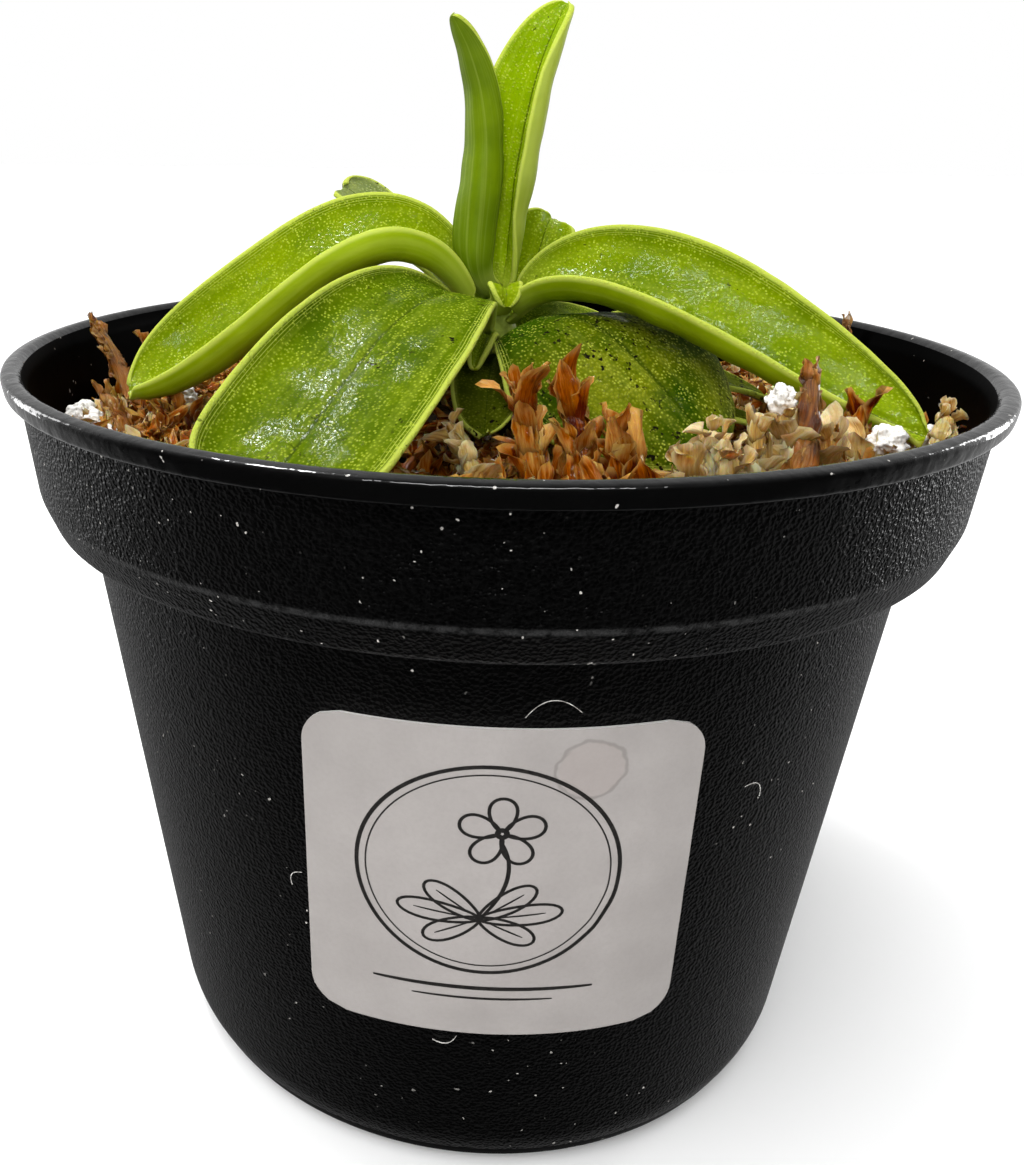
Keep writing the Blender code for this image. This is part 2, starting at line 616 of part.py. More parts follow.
# Perlite grains: place in plan, size, and height of the middle above the bed
GRAINS = [
    (-49.5, -6.5, 1.9, 0.9), (-46.5, -10.0, 1.5, 0.8), (33.5, -12.5, 1.8, 2.0),
    (46.5, -13.0, 2.2, 2.6), (49.0, -3.0, 1.6, 1.6), (-39.0, 2.5, 1.4, 1.0),
    (-24.0, 36.0, 1.7, 0.9), (26.0, 33.0, 1.8, 0.9), (1.0, 42.0, 1.6, 0.9),
]


def grain_mesh(x, y, size, rise, seed, swell=0.0):
    """A puffed, angular grain; swell makes the slightly larger copy that cuts its seat."""
    bm = bmesh.new()
    bmesh.ops.create_icosphere(bm, subdivisions=1, radius=1.0)
    middle = Vector((x, y, moss_height(x, y) + rise))
    for vert in bm.verts:
        way = vert.co.normalized()
        dent = noise.noise(way * 1.7 + Vector((seed, 0.0, seed)))
        vert.co = (middle + way * (size * (1.0 + 0.3 * dent) + swell)) * MM
    return bm


def build_perlite(collection, cutters, bed, material):
    for number, (x, y, size, rise) in enumerate(GRAINS, start=1):
        seed = SEED + number * 5.3
        name = f"perlite_{number}"
        add_object(name, grain_mesh(x, y, size, rise, seed), collection, material)
        seat = add_object(f"{name}_seat", grain_mesh(x, y, size, rise, seed, swell=SEAT_CLEARANCE),
                          cutters, material)
        hide_cutter(seat)
        cut = bed.modifiers.new(f"seat {number}", "BOOLEAN")
        cut.operation = "DIFFERENCE"
        cut.object = seat


def main():
    clear_scene()
    plant = make_collection("potted_butterwort")
    cutters = make_collection("cutters")
    black_plastic = make_material("black_polypropylene", (0.012, 0.012, 0.013), 0.5)
    paper = make_material("label_paper", (0.6, 0.57, 0.55), 0.6)
    moss = make_material("dried_sphagnum", (0.36, 0.16, 0.05), 0.75)
    perlite = make_material("perlite", (0.8, 0.79, 0.75), 0.85)
    stock = make_material("root_stock", (0.3, 0.33, 0.08), 0.6)
    green = make_material("leaf_green", (0.27, 0.43, 0.02), 0.32)

    build_pot(plant, cutters, black_plastic)
    build_label(plant, paper)
    bed = build_moss(plant, cutters, moss)
    build_perlite(plant, cutters, bed, perlite)
    build_crown(plant, stock)
    for leaf in LEAVES:
        build_leaf(leaf, plant, green)


main()
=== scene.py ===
import math

import bmesh
import bpy
import numpy as np
from mathutils import Matrix, Vector, noise


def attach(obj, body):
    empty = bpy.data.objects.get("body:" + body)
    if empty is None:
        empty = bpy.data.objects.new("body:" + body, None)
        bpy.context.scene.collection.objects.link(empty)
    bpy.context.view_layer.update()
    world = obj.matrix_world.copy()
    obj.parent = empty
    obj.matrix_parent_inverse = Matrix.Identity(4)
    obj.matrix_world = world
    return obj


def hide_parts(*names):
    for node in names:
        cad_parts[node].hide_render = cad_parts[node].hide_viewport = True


# A butterwort in a round plastic pot: the finishes and the fine shapes, built around the packed
# model. Lengths are in millimetres and turned to metres by MM; +Z is up and -Y faces the viewer.

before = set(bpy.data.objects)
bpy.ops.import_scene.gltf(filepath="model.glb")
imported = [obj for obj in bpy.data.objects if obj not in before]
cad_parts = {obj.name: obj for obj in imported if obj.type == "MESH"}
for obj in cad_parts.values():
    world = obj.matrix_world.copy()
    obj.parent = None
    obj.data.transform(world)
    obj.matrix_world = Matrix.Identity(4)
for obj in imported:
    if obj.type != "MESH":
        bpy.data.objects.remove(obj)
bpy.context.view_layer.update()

MM = 0.001
BODY = "root"
UP = np.array([0.0, 0.0, 1.0])
SEED = 12


# Camera, as the photograph was taken

IMAGE_WIDTH = 1024
IMAGE_HEIGHT = 1165
CAMERA_PLACE = (0.0, -139.604, 109.322)
CAMERA_PITCH = 0.2914        # radians below the horizon
CAMERA_YAW = -0.0835         # radians, looking slightly to the left
CAMERA_ROLL = 0.0092
FOCAL_PIXELS = 1161.583
OPTICAL_CENTRE = (397.03, 473.78)
SENSOR = 36.0                # the sensor's width, in millimetres
NEAREST = 0.01               # what the camera sees lies between these distances, in metres
FARTHEST = 20.0


def place_camera():
    """The photograph's camera; the shift frames the picture round its optical centre."""
    data = bpy.data.cameras.new("camera")
    camera = bpy.data.objects.new("camera", data)
    bpy.context.scene.collection.objects.link(camera)
    ahead = Vector((math.sin(CAMERA_YAW) * math.cos(CAMERA_PITCH),
                    math.cos(CAMERA_YAW) * math.cos(CAMERA_PITCH),
                    -math.sin(CAMERA_PITCH)))
    level = Vector((math.cos(CAMERA_YAW), -math.sin(CAMERA_YAW), 0.0))
    above = level.cross(ahead)
    across = level * math.cos(CAMERA_ROLL) + above * math.sin(CAMERA_ROLL)
    upward = above * math.cos(CAMERA_ROLL) - level * math.sin(CAMERA_ROLL)
    turn = Matrix((across, upward, -ahead)).transposed().to_4x4()
    turn.translation = Vector(CAMERA_PLACE) * MM
    camera.matrix_world = turn
    data.sensor_width = SENSOR
    data.lens = FOCAL_PIXELS * SENSOR / IMAGE_HEIGHT
    data.shift_x = (IMAGE_WIDTH / 2 - OPTICAL_CENTRE[0]) / IMAGE_HEIGHT
    data.shift_y = (OPTICAL_CENTRE[1] - IMAGE_HEIGHT / 2) / IMAGE_HEIGHT
    data.clip_start = NEAREST
    data.clip_end = FARTHEST
    bpy.context.scene.camera = camera


# Materials

# Settings that many nodes share
SMOOTH = {"interpolation_type": "SMOOTHSTEP"}
ON_COLOURS = {"data_type": "RGBA"}
MULTIPLY = {"operation": "MULTIPLY"}
ADD = {"operation": "ADD"}
SUBTRACT = {"operation": "SUBTRACT"}
ABSOLUTE = {"operation": "ABSOLUTE"}
MAXIMUM = {"operation": "MAXIMUM"}

# A colour mixing node takes its share and two colours at these inputs and gives its colour here
SHARE, UNDER, OVER, MIXED = 0, 6, 7, 2


def linear(hex_colour):
    """An sRGB hex colour as linear red, green, blue and alpha."""
    levels = [int(hex_colour[i:i + 2], 16) / 255 for i in (1, 3, 5)]
    return tuple(v / 12.92 if v <= 0.04045 else ((v + 0.055) / 1.055) ** 2.4
                 for v in levels) + (1.0,)


def per_mm(size):
    """Texture scale at which a pattern repeats about every size millimetres."""
    return 1.0 / (size * MM)


def add_node(tree, kind, settings=None, inputs=(), output=0):
    """Add a node, set it up, and return one of its outputs.

    settings  its properties, and the stops of a ramp as (position, hex colour)
    inputs    numbers, hex colours or other nodes' outputs, in order or by name or number
    output    name or number of the output that is returned
    """
    made = tree.nodes.new("ShaderNode" + kind)
    for key, value in (settings or {}).items():
        if key != "stops":
            setattr(made, key, value)
            continue
        elements = made.color_ramp.elements
        while len(elements) < len(value):
            elements.new(0.5)
        for element, (position, colour) in zip(elements, value):
            element.position = position
            element.color = linear(colour)
    for key, value in inputs.items() if isinstance(inputs, dict) else enumerate(inputs):
        if isinstance(value, bpy.types.NodeSocket):
            tree.links.new(value, made.inputs[key])
        else:
            made.inputs[key].default_value = linear(value) if isinstance(value, str) else value
    return made.outputs[output]


def new_material(name, **values):
    """A material with its Principled shader, whose constant values are set on its own sockets."""
    material = bpy.data.materials.new(name)
    material.use_nodes = True
    tree = material.node_tree
    shader = tree.nodes["Principled BSDF"]
    for key, value in values.items():
        shader.inputs[key.replace("_", " ")].default_value = value
    return material, tree, shader


# The real cells of the mould's grain are about 0.25 mm across; they are drawn wider so that they show
GRAIN_CELL = 0.42
GRAIN_DEPTH = 0.24
DUST_SIZE = 0.7


def polypropylene_grained():
    """Black polypropylene from a spark-eroded mould: fine leather-like cells, dull, a little dusty."""
    material, tree, shader = new_material("polypropylene_grained", Roughness=0.36, IOR=1.49,
                                          Specular_IOR_Level=0.26)
    place = add_node(tree, "TexCoord", output="Object")
    shift = add_node(tree, "TexNoise", None, {"Vector": place, "Scale": per_mm(1.6), "Detail": 2.0},
                     "Color")
    bent = add_node(tree, "VectorMath", {"operation": "MULTIPLY_ADD"}, [shift, (0.6 * MM,) * 3, place])
    cells = add_node(tree, "TexVoronoi", {"feature": "F1"},
                     {"Vector": bent, "Scale": per_mm(GRAIN_CELL), "Randomness": 0.9}, "Distance")
    fine = add_node(tree, "TexNoise", None, {"Vector": place, "Scale": per_mm(0.3), "Detail": 2.0})
    half_fine = add_node(tree, "Math", MULTIPLY, [fine, 0.5])
    height = add_node(tree, "Math", ADD, [cells, half_fine])
    normal = add_node(tree, "Bump", None, {"Height": height, "Distance": GRAIN_DEPTH * MM})
    tree.links.new(normal, shader.inputs["Normal"])
    # The tops of the cells are a little greyer than the hollows: partly wear, partly a painted sheen on
    # the grain
    colour = add_node(tree, "ValToRGB", {"stops": [(0.5, "#000000"), (1.0, "#060606")]}, [height])
    # Painted highlight: pale lines along the two corners of the collar, where they catch the light, broken
    # up in places
    level = add_node(tree, "SeparateXYZ", None, [place], "Z")
    worn = add_node(tree, "TexNoise", None,
                    {"Vector": place, "Scale": per_mm(1.2), "Detail": 4.0, "Roughness": 0.7})
    gaps = add_node(tree, "MapRange", SMOOTH, [worn, 0.3, 0.6, 0.0, 1.0])
    for corner in (COLLAR_CREASE, COLLAR_LOWER):
        below = add_node(tree, "Math", SUBTRACT, [level, corner[1] * MM])
        away = add_node(tree, "Math", ABSOLUTE, [below])
        line = add_node(tree, "MapRange", SMOOTH, [away, 0.1 * MM, 0.5 * MM, 0.85, 0.0])
        corner_highlight = add_node(tree, "Math", MULTIPLY, [line, gaps])
        colour = add_node(tree, "Mix", ON_COLOURS, {SHARE: corner_highlight, UNDER: colour, OVER: "#2E2E2E"}, MIXED)
    # Potting dust: sparse pale specks
    clouds = add_node(tree, "TexNoise", None, {"Vector": place, "Scale": per_mm(14.0), "Detail": 1.0})
    patches = add_node(tree, "MapRange", SMOOTH, [clouds, 0.45, 0.6, 0.0, 1.0])
    dust = add_node(tree, "TexNoise", None, {"Vector": place, "Scale": per_mm(DUST_SIZE), "Detail": 1.0})
    specks = add_node(tree, "MapRange", SMOOTH, [dust, 0.752, 0.775, 0.0, 1.0])
    dusty = add_node(tree, "Math", MULTIPLY, [patches, specks])
    colour = add_node(tree, "Mix", ON_COLOURS, {SHARE: dusty, UNDER: colour, OVER: "#B5B2AC"}, MIXED)
    tree.links.new(colour, shader.inputs["Base Color"])
    return material


def polypropylene_smooth():
    """The same plastic where the mould was polished: the satin lip, wet enough to catch the light."""
    material, tree, shader = new_material("polypropylene_smooth", IOR=1.49, Specular_IOR_Level=0.08,
                                          Coat_Weight=1.0, Coat_Roughness=0.07, Coat_IOR=1.45)
    place = add_node(tree, "TexCoord", output="Object")
    worn = add_node(tree, "TexNoise", None,
                    {"Vector": place, "Scale": per_mm(3.0), "Detail": 5.0, "Roughness": 0.6})
    dulled = add_node(tree, "MapRange", SMOOTH, [worn, 0.3, 0.75, 0.22, 0.42])
    tree.links.new(dulled, shader.inputs["Roughness"])
    dust = add_node(tree, "TexNoise", None, {"Vector": place, "Scale": per_mm(DUST_SIZE), "Detail": 1.0})
    specks = add_node(tree, "MapRange", SMOOTH, [dust, 0.76, 0.78, 0.0, 1.0])
    colour = add_node(tree, "Mix", ON_COLOURS, {SHARE: specks, UNDER: "#050505", OVER: "#A8A5A0"}, MIXED)
    tree.links.new(colour, shader.inputs["Base Color"])
    # Drops and handling marks break the highlight along the lip into short dashes
    ripples = add_node(tree, "TexNoise", None, {"Vector": place, "Scale": per_mm(1.7), "Detail": 2.0})
    normal = add_node(tree, "Bump", None, {"Height": ripples, "Distance": 0.16 * MM})
    tree.links.new(normal, shader.inputs["Coat Normal"])
    return material


def polypropylene_shaded():
    """The wall inside, smooth but nearly black, with a few splashed crumbs."""
    material, tree, shader = new_material("polypropylene_shaded", Roughness=0.4, IOR=1.49,
                                          Specular_IOR_Level=0.01)
    place = add_node(tree, "TexCoord", output="Object")
    splashes = add_node(tree, "TexNoise", None, {"Vector": place, "Scale": per_mm(1.1), "Detail": 1.5})
    specks = add_node(tree, "MapRange", SMOOTH, [splashes, 0.735, 0.755, 0.0, 1.0])
    colour = add_node(tree, "Mix", ON_COLOURS, {SHARE: specks, UNDER: "#010101", OVER: "#8F8C87"}, MIXED)
    tree.links.new(colour, shader.inputs["Base Color"])
    uneven = add_node(tree, "TexNoise", None, {"Vector": place, "Scale": per_mm(2.4), "Detail": 3.0})
    normal = add_node(tree, "Bump", None, {"Height": uneven, "Distance": 0.04 * MM})
    tree.links.new(normal, shader.inputs["Normal"])
    return material


def label_paper():
    """Uncoated label paper, warm grey with faint fibres, and the ring that a water drop dried to."""
    material, tree, shader = new_material("label_paper", Roughness=0.62, IOR=1.45)
    place = add_node(tree, "TexCoord", output="Object")
    fibres = add_node(tree, "TexNoise", None,
                      {"Vector": place, "Scale": per_mm(0.5), "Detail": 4.0, "Roughness": 0.65})
    clouds = add_node(tree, "TexNoise", None, {"Vector": place, "Scale": per_mm(7.0), "Detail": 2.0})
    colour = add_node(tree, "ValToRGB", {"stops": [(0.3, "#918C89"), (0.7, "#9A9592")]}, [clouds])
    faint = add_node(tree, "MapRange", SMOOTH, [fibres, 0.35, 0.7, 0.0, 0.12])
    middle = tuple(v * MM for v in STAIN_PLACE)
    offset = add_node(tree, "VectorMath", {"operation": "DISTANCE"}, [place, middle], "Value")
    uneven = add_node(tree, "TexNoise", None, {"Vector": place, "Scale": per_mm(2.0), "Detail": 2.0})
    centred = add_node(tree, "Math", SUBTRACT, [uneven, 0.5])
    wobble = add_node(tree, "Math", MULTIPLY, [centred, 1.2 * MM])
    wavy = add_node(tree, "Math", ADD, [offset, wobble])
    past = add_node(tree, "Math", SUBTRACT, [wavy, STAIN_RADIUS * MM])
    edge = add_node(tree, "Math", ABSOLUTE, [past])
    ring = add_node(tree, "MapRange", SMOOTH, [edge, 0.05 * MM, 0.3 * MM, 0.45, 0.0])
    inside = add_node(tree, "MapRange", SMOOTH,
                      [offset, (STAIN_RADIUS - 0.3) * MM, STAIN_RADIUS * MM, 0.18, 0.0])
    for share, over in ((faint, "#7C7773"), (inside, "#928079"), (ring, "#655F5B")):
        colour = add_node(tree, "Mix", ON_COLOURS, {SHARE: share, UNDER: colour, OVER: over}, MIXED)
    tree.links.new(colour, shader.inputs["Base Color"])
    normal = add_node(tree, "Bump", None, {"Height": fibres, "Distance": 0.02 * MM})
    tree.links.new(normal, shader.inputs["Normal"])
    return material


def paper_cut_edge():
    """The cut edge of the label, where the white core of the paper shows."""
    material, _, shader = new_material("paper_cut_edge", Roughness=0.7)
    shader.inputs["Base Color"].default_value = linear("#EDEBE8")
    return material


def printing_ink():
    """Black screen ink, slightly broken up by the paper's fibres."""
    material, tree, shader = new_material("printing_ink", Roughness=0.5, IOR=1.5)
    place = add_node(tree, "TexCoord", output="Object")
    fibres = add_node(tree, "TexNoise", None, {"Vector": place, "Scale": per_mm(0.3), "Detail": 3.0})
    colour = add_node(tree, "ValToRGB", {"stops": [(0.3, "#141312"), (0.75, "#2B2826")]}, [fibres])
    tree.links.new(colour, shader.inputs["Base Color"])
    return material


def lint_fibre():
    """Stray cotton fibres, white and matt."""
    material, tree, shader = new_material("lint_fibre", Roughness=0.8)
    place = add_node(tree, "TexCoord", output="Object")
    uneven = add_node(tree, "TexNoise", None, {"Vector": place, "Scale": per_mm(0.6), "Detail": 2.0})
    colour = add_node(tree, "ValToRGB", {"stops": [(0.35, "#8E8B86"), (0.65, "#DDDBD6")]}, [uneven])
    tree.links.new(colour, shader.inputs["Base Color"])
    return material


def blade_coordinates(tree):
    """Object place, UV place, distance from the midrib (1 at the margin) and place along the blade."""
    place = add_node(tree, "TexCoord", output="Object")
    spread = add_node(tree, "TexCoord", output="UV")
    across = add_node(tree, "SeparateXYZ", None, [spread], "X")
    along = add_node(tree, "SeparateXYZ", None, [spread], "Y")
    centred = add_node(tree, "Math", SUBTRACT, [across, 0.5])
    half = add_node(tree, "Math", ABSOLUTE, [centred])
    aside = add_node(tree, "Math", MULTIPLY, [half, 2.0])
    return place, spread, aside, along


LEAF_RIM = "#B4C050"
LEAF_GROOVE_SHADE = "#2A3A02"
LEAF_SPECK = "#15120A"

# The glands and drops are drawn wider apart than the real 0.25 mm, so that they show
GLAND_SPACING = 0.38
DROP_SPACING = 0.45
PLEAT = 0.034                # spacing of the pleats as a share of the half blade


def leaf_upper(name, deep, bright, edge, worn):
    """Upper side of a butterwort leaf: saturated green under sticky, glistening glands.

    Drops of slime stand on the glands, so the surface sparkles in clusters where it mirrors a lamp.
    worn runs from 0 for a fresh leaf to 1 for an old one: darker at the base, drier and full of specks. It
    also sets how much painted shade darkens the inner part of the blade.
    """
    material, tree, shader = new_material(
        name, Roughness=0.5, IOR=1.4, Specular_IOR_Level=0.01, Subsurface_Weight=0.2,
        Subsurface_Scale=0.0015, Subsurface_Radius=(0.7, 1.0, 0.06), Coat_Roughness=0.05, Coat_IOR=1.38)
    place, spread, aside, along = blade_coordinates(tree)
    clouds = add_node(tree, "TexNoise", None,
                      {"Vector": place, "Scale": per_mm(7.5), "Detail": 4.0, "Roughness": 0.6})
    colour = add_node(tree, "ValToRGB", {"stops": [(0.35, deep), (0.64, bright)]}, [clouds])
    # Long, faint streaks run beside the midrib
    stretched = add_node(tree, "Mapping", None, {"Vector": spread, "Scale": (14.0, 1.1, 1.0)})
    streaks = add_node(tree, "TexNoise", None,
                       {"Vector": stretched, "Scale": 1.0, "Detail": 3.0, "Roughness": 0.5})
    faint = add_node(tree, "MapRange", SMOOTH, [streaks, 0.45, 0.68, 0.0, 0.2])
    # Painted shade: a dark line down the groove over the midrib
    midrib = add_node(tree, "MapRange", SMOOTH, [aside, 0.006, 0.035, 0.8, 0.0])
    pale_base = add_node(tree, "MapRange", SMOOTH, [along, 0.02, 0.16, 0.6 - 0.5 * worn, 0.0])
    # Painted shade: the blade darkened to its deep colour from the crown to past its middle, as much as
    # worn says
    shaded = add_node(tree, "MapRange", SMOOTH, [along, 0.2, 0.7, worn, 0.0])
    # The glands: pale dots in darker cells, stronger in some patches than in others
    glands = add_node(tree, "TexVoronoi", {"feature": "F1"},
                      {"Vector": place, "Scale": per_mm(GLAND_SPACING), "Randomness": 0.95}, "Distance")
    dots = add_node(tree, "MapRange", SMOOTH, [glands, 0.15, 0.45, 1.0, 0.0])
    uneven = add_node(tree, "TexNoise", None, {"Vector": place, "Scale": per_mm(2.6), "Detail": 2.0})
    patches = add_node(tree, "MapRange", SMOOTH, [uneven, 0.35, 0.65, 0.25, 0.85])
    pale_dots = add_node(tree, "Math", MULTIPLY, [dots, patches])
    between = add_node(tree, "MapRange", SMOOTH, [glands, 0.45, 0.75, 0.0, 0.35])
    # The rolled margin: a pale rim and fine pale pleats inside it
    rim = add_node(tree, "MapRange", SMOOTH, [aside, 0.965, 0.995, 0.0, 0.85])
    turns = add_node(tree, "Math", MULTIPLY, [aside, 2 * math.pi / PLEAT])
    folds = add_node(tree, "Math", {"operation": "SINE"}, [turns])
    lines = add_node(tree, "MapRange", SMOOTH, [folds, 0.3, 0.95, 0.0, 1.0])
    zone = add_node(tree, "MapRange", SMOOTH, [aside, 0.86, 0.93, 0.0, 0.55])
    pleats = add_node(tree, "Math", MULTIPLY, [lines, zone])
    margin = add_node(tree, "Math", MAXIMUM, [rim, pleats])
    # Trapped gnats and bits of peat
    areas = add_node(tree, "TexNoise", None, {"Vector": place, "Scale": per_mm(6.0), "Detail": 2.0})
    littered = add_node(tree, "MapRange", SMOOTH,
                        [areas, 0.62 - 0.2 * worn, 0.74 - 0.12 * worn, 0.0, 1.0])
    litter = add_node(tree, "TexNoise", None,
                      {"Vector": place, "Scale": per_mm(0.9), "Detail": 2.0, "Roughness": 0.7})
    bits = add_node(tree, "MapRange", SMOOTH,
                    [litter, 0.64 - 0.05 * worn, 0.68 - 0.03 * worn, 0.0, 1.0])
    specks = add_node(tree, "Math", MULTIPLY, [littered, bits])
    # Each share lays its colour over those before it
    for share, over in ((faint, edge), (midrib, LEAF_GROOVE_SHADE), (pale_base, edge), (shaded, deep),
                        (pale_dots, edge), (between, deep), (margin, LEAF_RIM), (specks, LEAF_SPECK)):
        colour = add_node(tree, "Mix", ON_COLOURS, {SHARE: share, UNDER: colour, OVER: over}, MIXED)
    tree.links.new(colour, shader.inputs["Base Color"])
    skin = add_node(tree, "TexNoise", None, {"Vector": place, "Scale": per_mm(1.5), "Detail": 3.0})
    height = add_node(tree, "Math", ADD, [dots, skin])
    normal = add_node(tree, "Bump", None, {"Height": height, "Distance": 0.05 * MM})
    tree.links.new(normal, shader.inputs["Normal"])
    # The slime lies in drops and runs, thick in some places, thin in others, and dry at the margin
    drops = add_node(tree, "TexNoise", None,
                     {"Vector": place, "Scale": per_mm(DROP_SPACING), "Detail": 1.5, "Roughness": 0.5})
    normal = add_node(tree, "Bump", None, {"Height": drops, "Distance": 0.17 * MM})
    tree.links.new(normal, shader.inputs["Coat Normal"])
    runs = add_node(tree, "TexNoise", None, {"Vector": place, "Scale": per_mm(4.0), "Detail": 2.0})
    wet = add_node(tree, "MapRange", SMOOTH,
                   [runs, 0.42 + 0.08 * worn, 0.6 + 0.08 * worn, 0.1 - 0.1 * worn, 1.0])
    dry_from = 0.6 - 0.4 * worn
    inner = add_node(tree, "MapRange", SMOOTH, [aside, dry_from, dry_from + 0.32, 1.0, 0.0])
    slime = add_node(tree, "Math", MULTIPLY, [wet, inner])
    tree.links.new(slime, shader.inputs["Coat Weight"])
    return material


def leaf_under(name, deep, bright, edge):
    """Underside of a leaf: bare, smooth, paler and satin, with the pale rim of the rolled margin."""
    material, tree, shader = new_material(
        name, Roughness=0.42, IOR=1.4, Specular_IOR_Level=0.16, Subsurface_Weight=0.18,
        Subsurface_Scale=0.0012, Subsurface_Radius=(0.8, 1.0, 0.1))
    place, spread, aside, along = blade_coordinates(tree)
    clouds = add_node(tree, "TexNoise", None, {"Vector": place, "Scale": per_mm(7.0), "Detail": 3.0})
    colour = add_node(tree, "ValToRGB", {"stops": [(0.3, deep), (0.68, bright)]}, [clouds])
    stretched = add_node(tree, "Mapping", None, {"Vector": spread, "Scale": (20.0, 0.8, 1.0)})
    streaks = add_node(tree, "TexNoise", None, {"Vector": stretched, "Scale": 1.0, "Detail": 2.0})
    veins = add_node(tree, "MapRange", SMOOTH, [streaks, 0.45, 0.7, 0.0, 0.25])
    rim = add_node(tree, "MapRange", SMOOTH, [aside, 0.94, 0.99, 0.0, 0.9])
    pale_base = add_node(tree, "MapRange", SMOOTH, [along, 0.02, 0.16, 0.5, 0.0])
    for share, over in ((veins, edge), (rim, LEAF_RIM), (pale_base, edge)):
        colour = add_node(tree, "Mix", ON_COLOURS, {SHARE: share, UNDER: colour, OVER: over}, MIXED)
    tree.links.new(colour, shader.inputs["Base Color"])
    skin = add_node(tree, "TexNoise", None, {"Vector": place, "Scale": per_mm(0.6), "Detail": 2.0})
    normal = add_node(tree, "Bump", None, {"Height": skin, "Distance": 0.03 * MM})
    tree.links.new(normal, shader.inputs["Normal"])
    return material


# Cell rows of a moss scale, in millimetres across and along it, and how fast its tint changes
ROW_WIDTH = 0.3
ROW_LENGTH = 3.0
TINT_LENGTH = 9.0


def sphagnum(name, dark, middle, pale):
    """Dried and rewetted sphagnum: papery, striated scale leaves, translucent and wet in places."""
    material, tree, shader = new_material(
        name, Roughness=0.45, IOR=1.42, Specular_IOR_Level=0.04, Coat_Weight=0.9, Coat_Roughness=0.1,
        Coat_IOR=1.42, Subsurface_Weight=0.45, Subsurface_Scale=0.002,
        Subsurface_Radius=(1.0, 0.35, 0.04))
    place = add_node(tree, "TexCoord", output="Object")
    flat = add_node(tree, "UVMap", {"uv_map": "flat"})
    from_middle = add_node(tree, "SeparateXYZ", None, [flat], "X")
    from_foot = add_node(tree, "SeparateXYZ", None, [flat], "Y")
    grain = add_node(tree, "UVMap", {"uv_map": "grain"})
    drawn = add_node(tree, "Mapping", None,
                     {"Vector": grain, "Scale": (1 / ROW_WIDTH, 1 / ROW_LENGTH, 1.0)})
    rows = add_node(tree, "TexNoise", None,
                    {"Vector": drawn, "Scale": 1.0, "Detail": 3.0, "Roughness": 0.6})
    # Each scale starts elsewhere on the grain map, so this slow noise gives it a tint of its own
    own = add_node(tree, "TexNoise", None, {"Vector": grain, "Scale": 1 / TINT_LENGTH, "Detail": 1.0})
    soaked = add_node(tree, "TexNoise", None, {"Vector": place, "Scale": per_mm(4.5), "Detail": 2.0})
    some_own = add_node(tree, "Math", MULTIPLY, [own, 0.45])
    some_rows = add_node(tree, "Math", MULTIPLY, [rows, 0.35])
    some_soaked = add_node(tree, "Math", MULTIPLY, [soaked, 0.4])
    mixed = add_node(tree, "Math", ADD, [some_own, some_rows])
    mixed = add_node(tree, "Math", ADD, [mixed, some_soaked])
    colour = add_node(tree, "ValToRGB", {"stops": [(0.48, dark), (0.59, middle), (0.77, pale)]}, [mixed])
    # Thin, pale margins and tips, and a dark foot
    margin = add_node(tree, "MapRange", SMOOTH, [from_middle, 0.7, 1.0, 0.0, 1.0])
    tip = add_node(tree, "MapRange", SMOOTH, [from_foot, 0.75, 1.0, 0.0, 1.0])
    ends = add_node(tree, "Math", MAXIMUM, [margin, tip])
    thin = add_node(tree, "Math", MULTIPLY, [ends, 0.42])
    foot = add_node(tree, "MapRange", SMOOTH, [from_foot, 0.0, 0.55, 0.85, 0.0])
    for share, over in ((thin, pale), (foot, dark)):
        colour = add_node(tree, "Mix", ON_COLOURS, {SHARE: share, UNDER: colour, OVER: over}, MIXED)
    tree.links.new(colour, shader.inputs["Base Color"])
    crinkles = add_node(tree, "TexNoise", None, {"Vector": place, "Scale": per_mm(0.5), "Detail": 2.0})
    half_crinkles = add_node(tree, "Math", MULTIPLY, [crinkles, 0.5])
    height = add_node(tree, "Math", ADD, [rows, half_crinkles])
    for depth, socket in ((0.14, "Normal"), (0.3, "Coat Normal")):
        normal = add_node(tree, "Bump", None, {"Height": height, "Distance": depth * MM})
        tree.links.new(normal, shader.inputs[socket])
    return material


def damp_peat():
    """The broken-down moss under the strands, nearly black where it is wet."""
    material, tree, shader = new_material("damp_peat", Roughness=0.7, IOR=1.4)
    place = add_node(tree, "TexCoord", output="Object")
    crumbs = add_node(tree, "TexNoise", None,
                      {"Vector": place, "Scale": per_mm(1.4), "Detail": 5.0, "Roughness": 0.65})
    stops = [(0.35, "#100A04"), (0.55, "#33200E"), (0.75, "#6A4420")]
    colour = add_node(tree, "ValToRGB", {"stops": stops}, [crumbs])
    tree.links.new(colour, shader.inputs["Base Color"])
    normal = add_node(tree, "Bump", None, {"Height": crumbs, "Distance": 0.5 * MM})
    tree.links.new(normal, shader.inputs["Normal"])
    return material


def expanded_perlite():
    """Expanded perlite: chalk white, pitted by burst bubbles."""
    material, tree, shader = new_material("expanded_perlite", Roughness=0.88, IOR=1.5)
    place = add_node(tree, "TexCoord", output="Object")
    pits = add_node(tree, "TexVoronoi", {"feature": "F1"}, {"Vector": place, "Scale": per_mm(0.45)},
                    "Distance")
    colour = add_node(tree, "ValToRGB", {"stops": [(0.1, "#BDB7AD"), (0.45, "#EFEDE8")]}, [pits])
    damp = add_node(tree, "TexNoise", None, {"Vector": place, "Scale": per_mm(1.2), "Detail": 2.0})
    stains = add_node(tree, "MapRange", SMOOTH, [damp, 0.55, 0.75, 0.0, 0.35])
    colour = add_node(tree, "Mix", ON_COLOURS, {SHARE: stains, UNDER: colour, OVER: "#B59A78"}, MIXED)
    tree.links.new(colour, shader.inputs["Base Color"])
    normal = add_node(tree, "Bump", None, {"Height": pits, "Distance": 0.12 * MM})
    tree.links.new(normal, shader.inputs["Normal"])
    return material


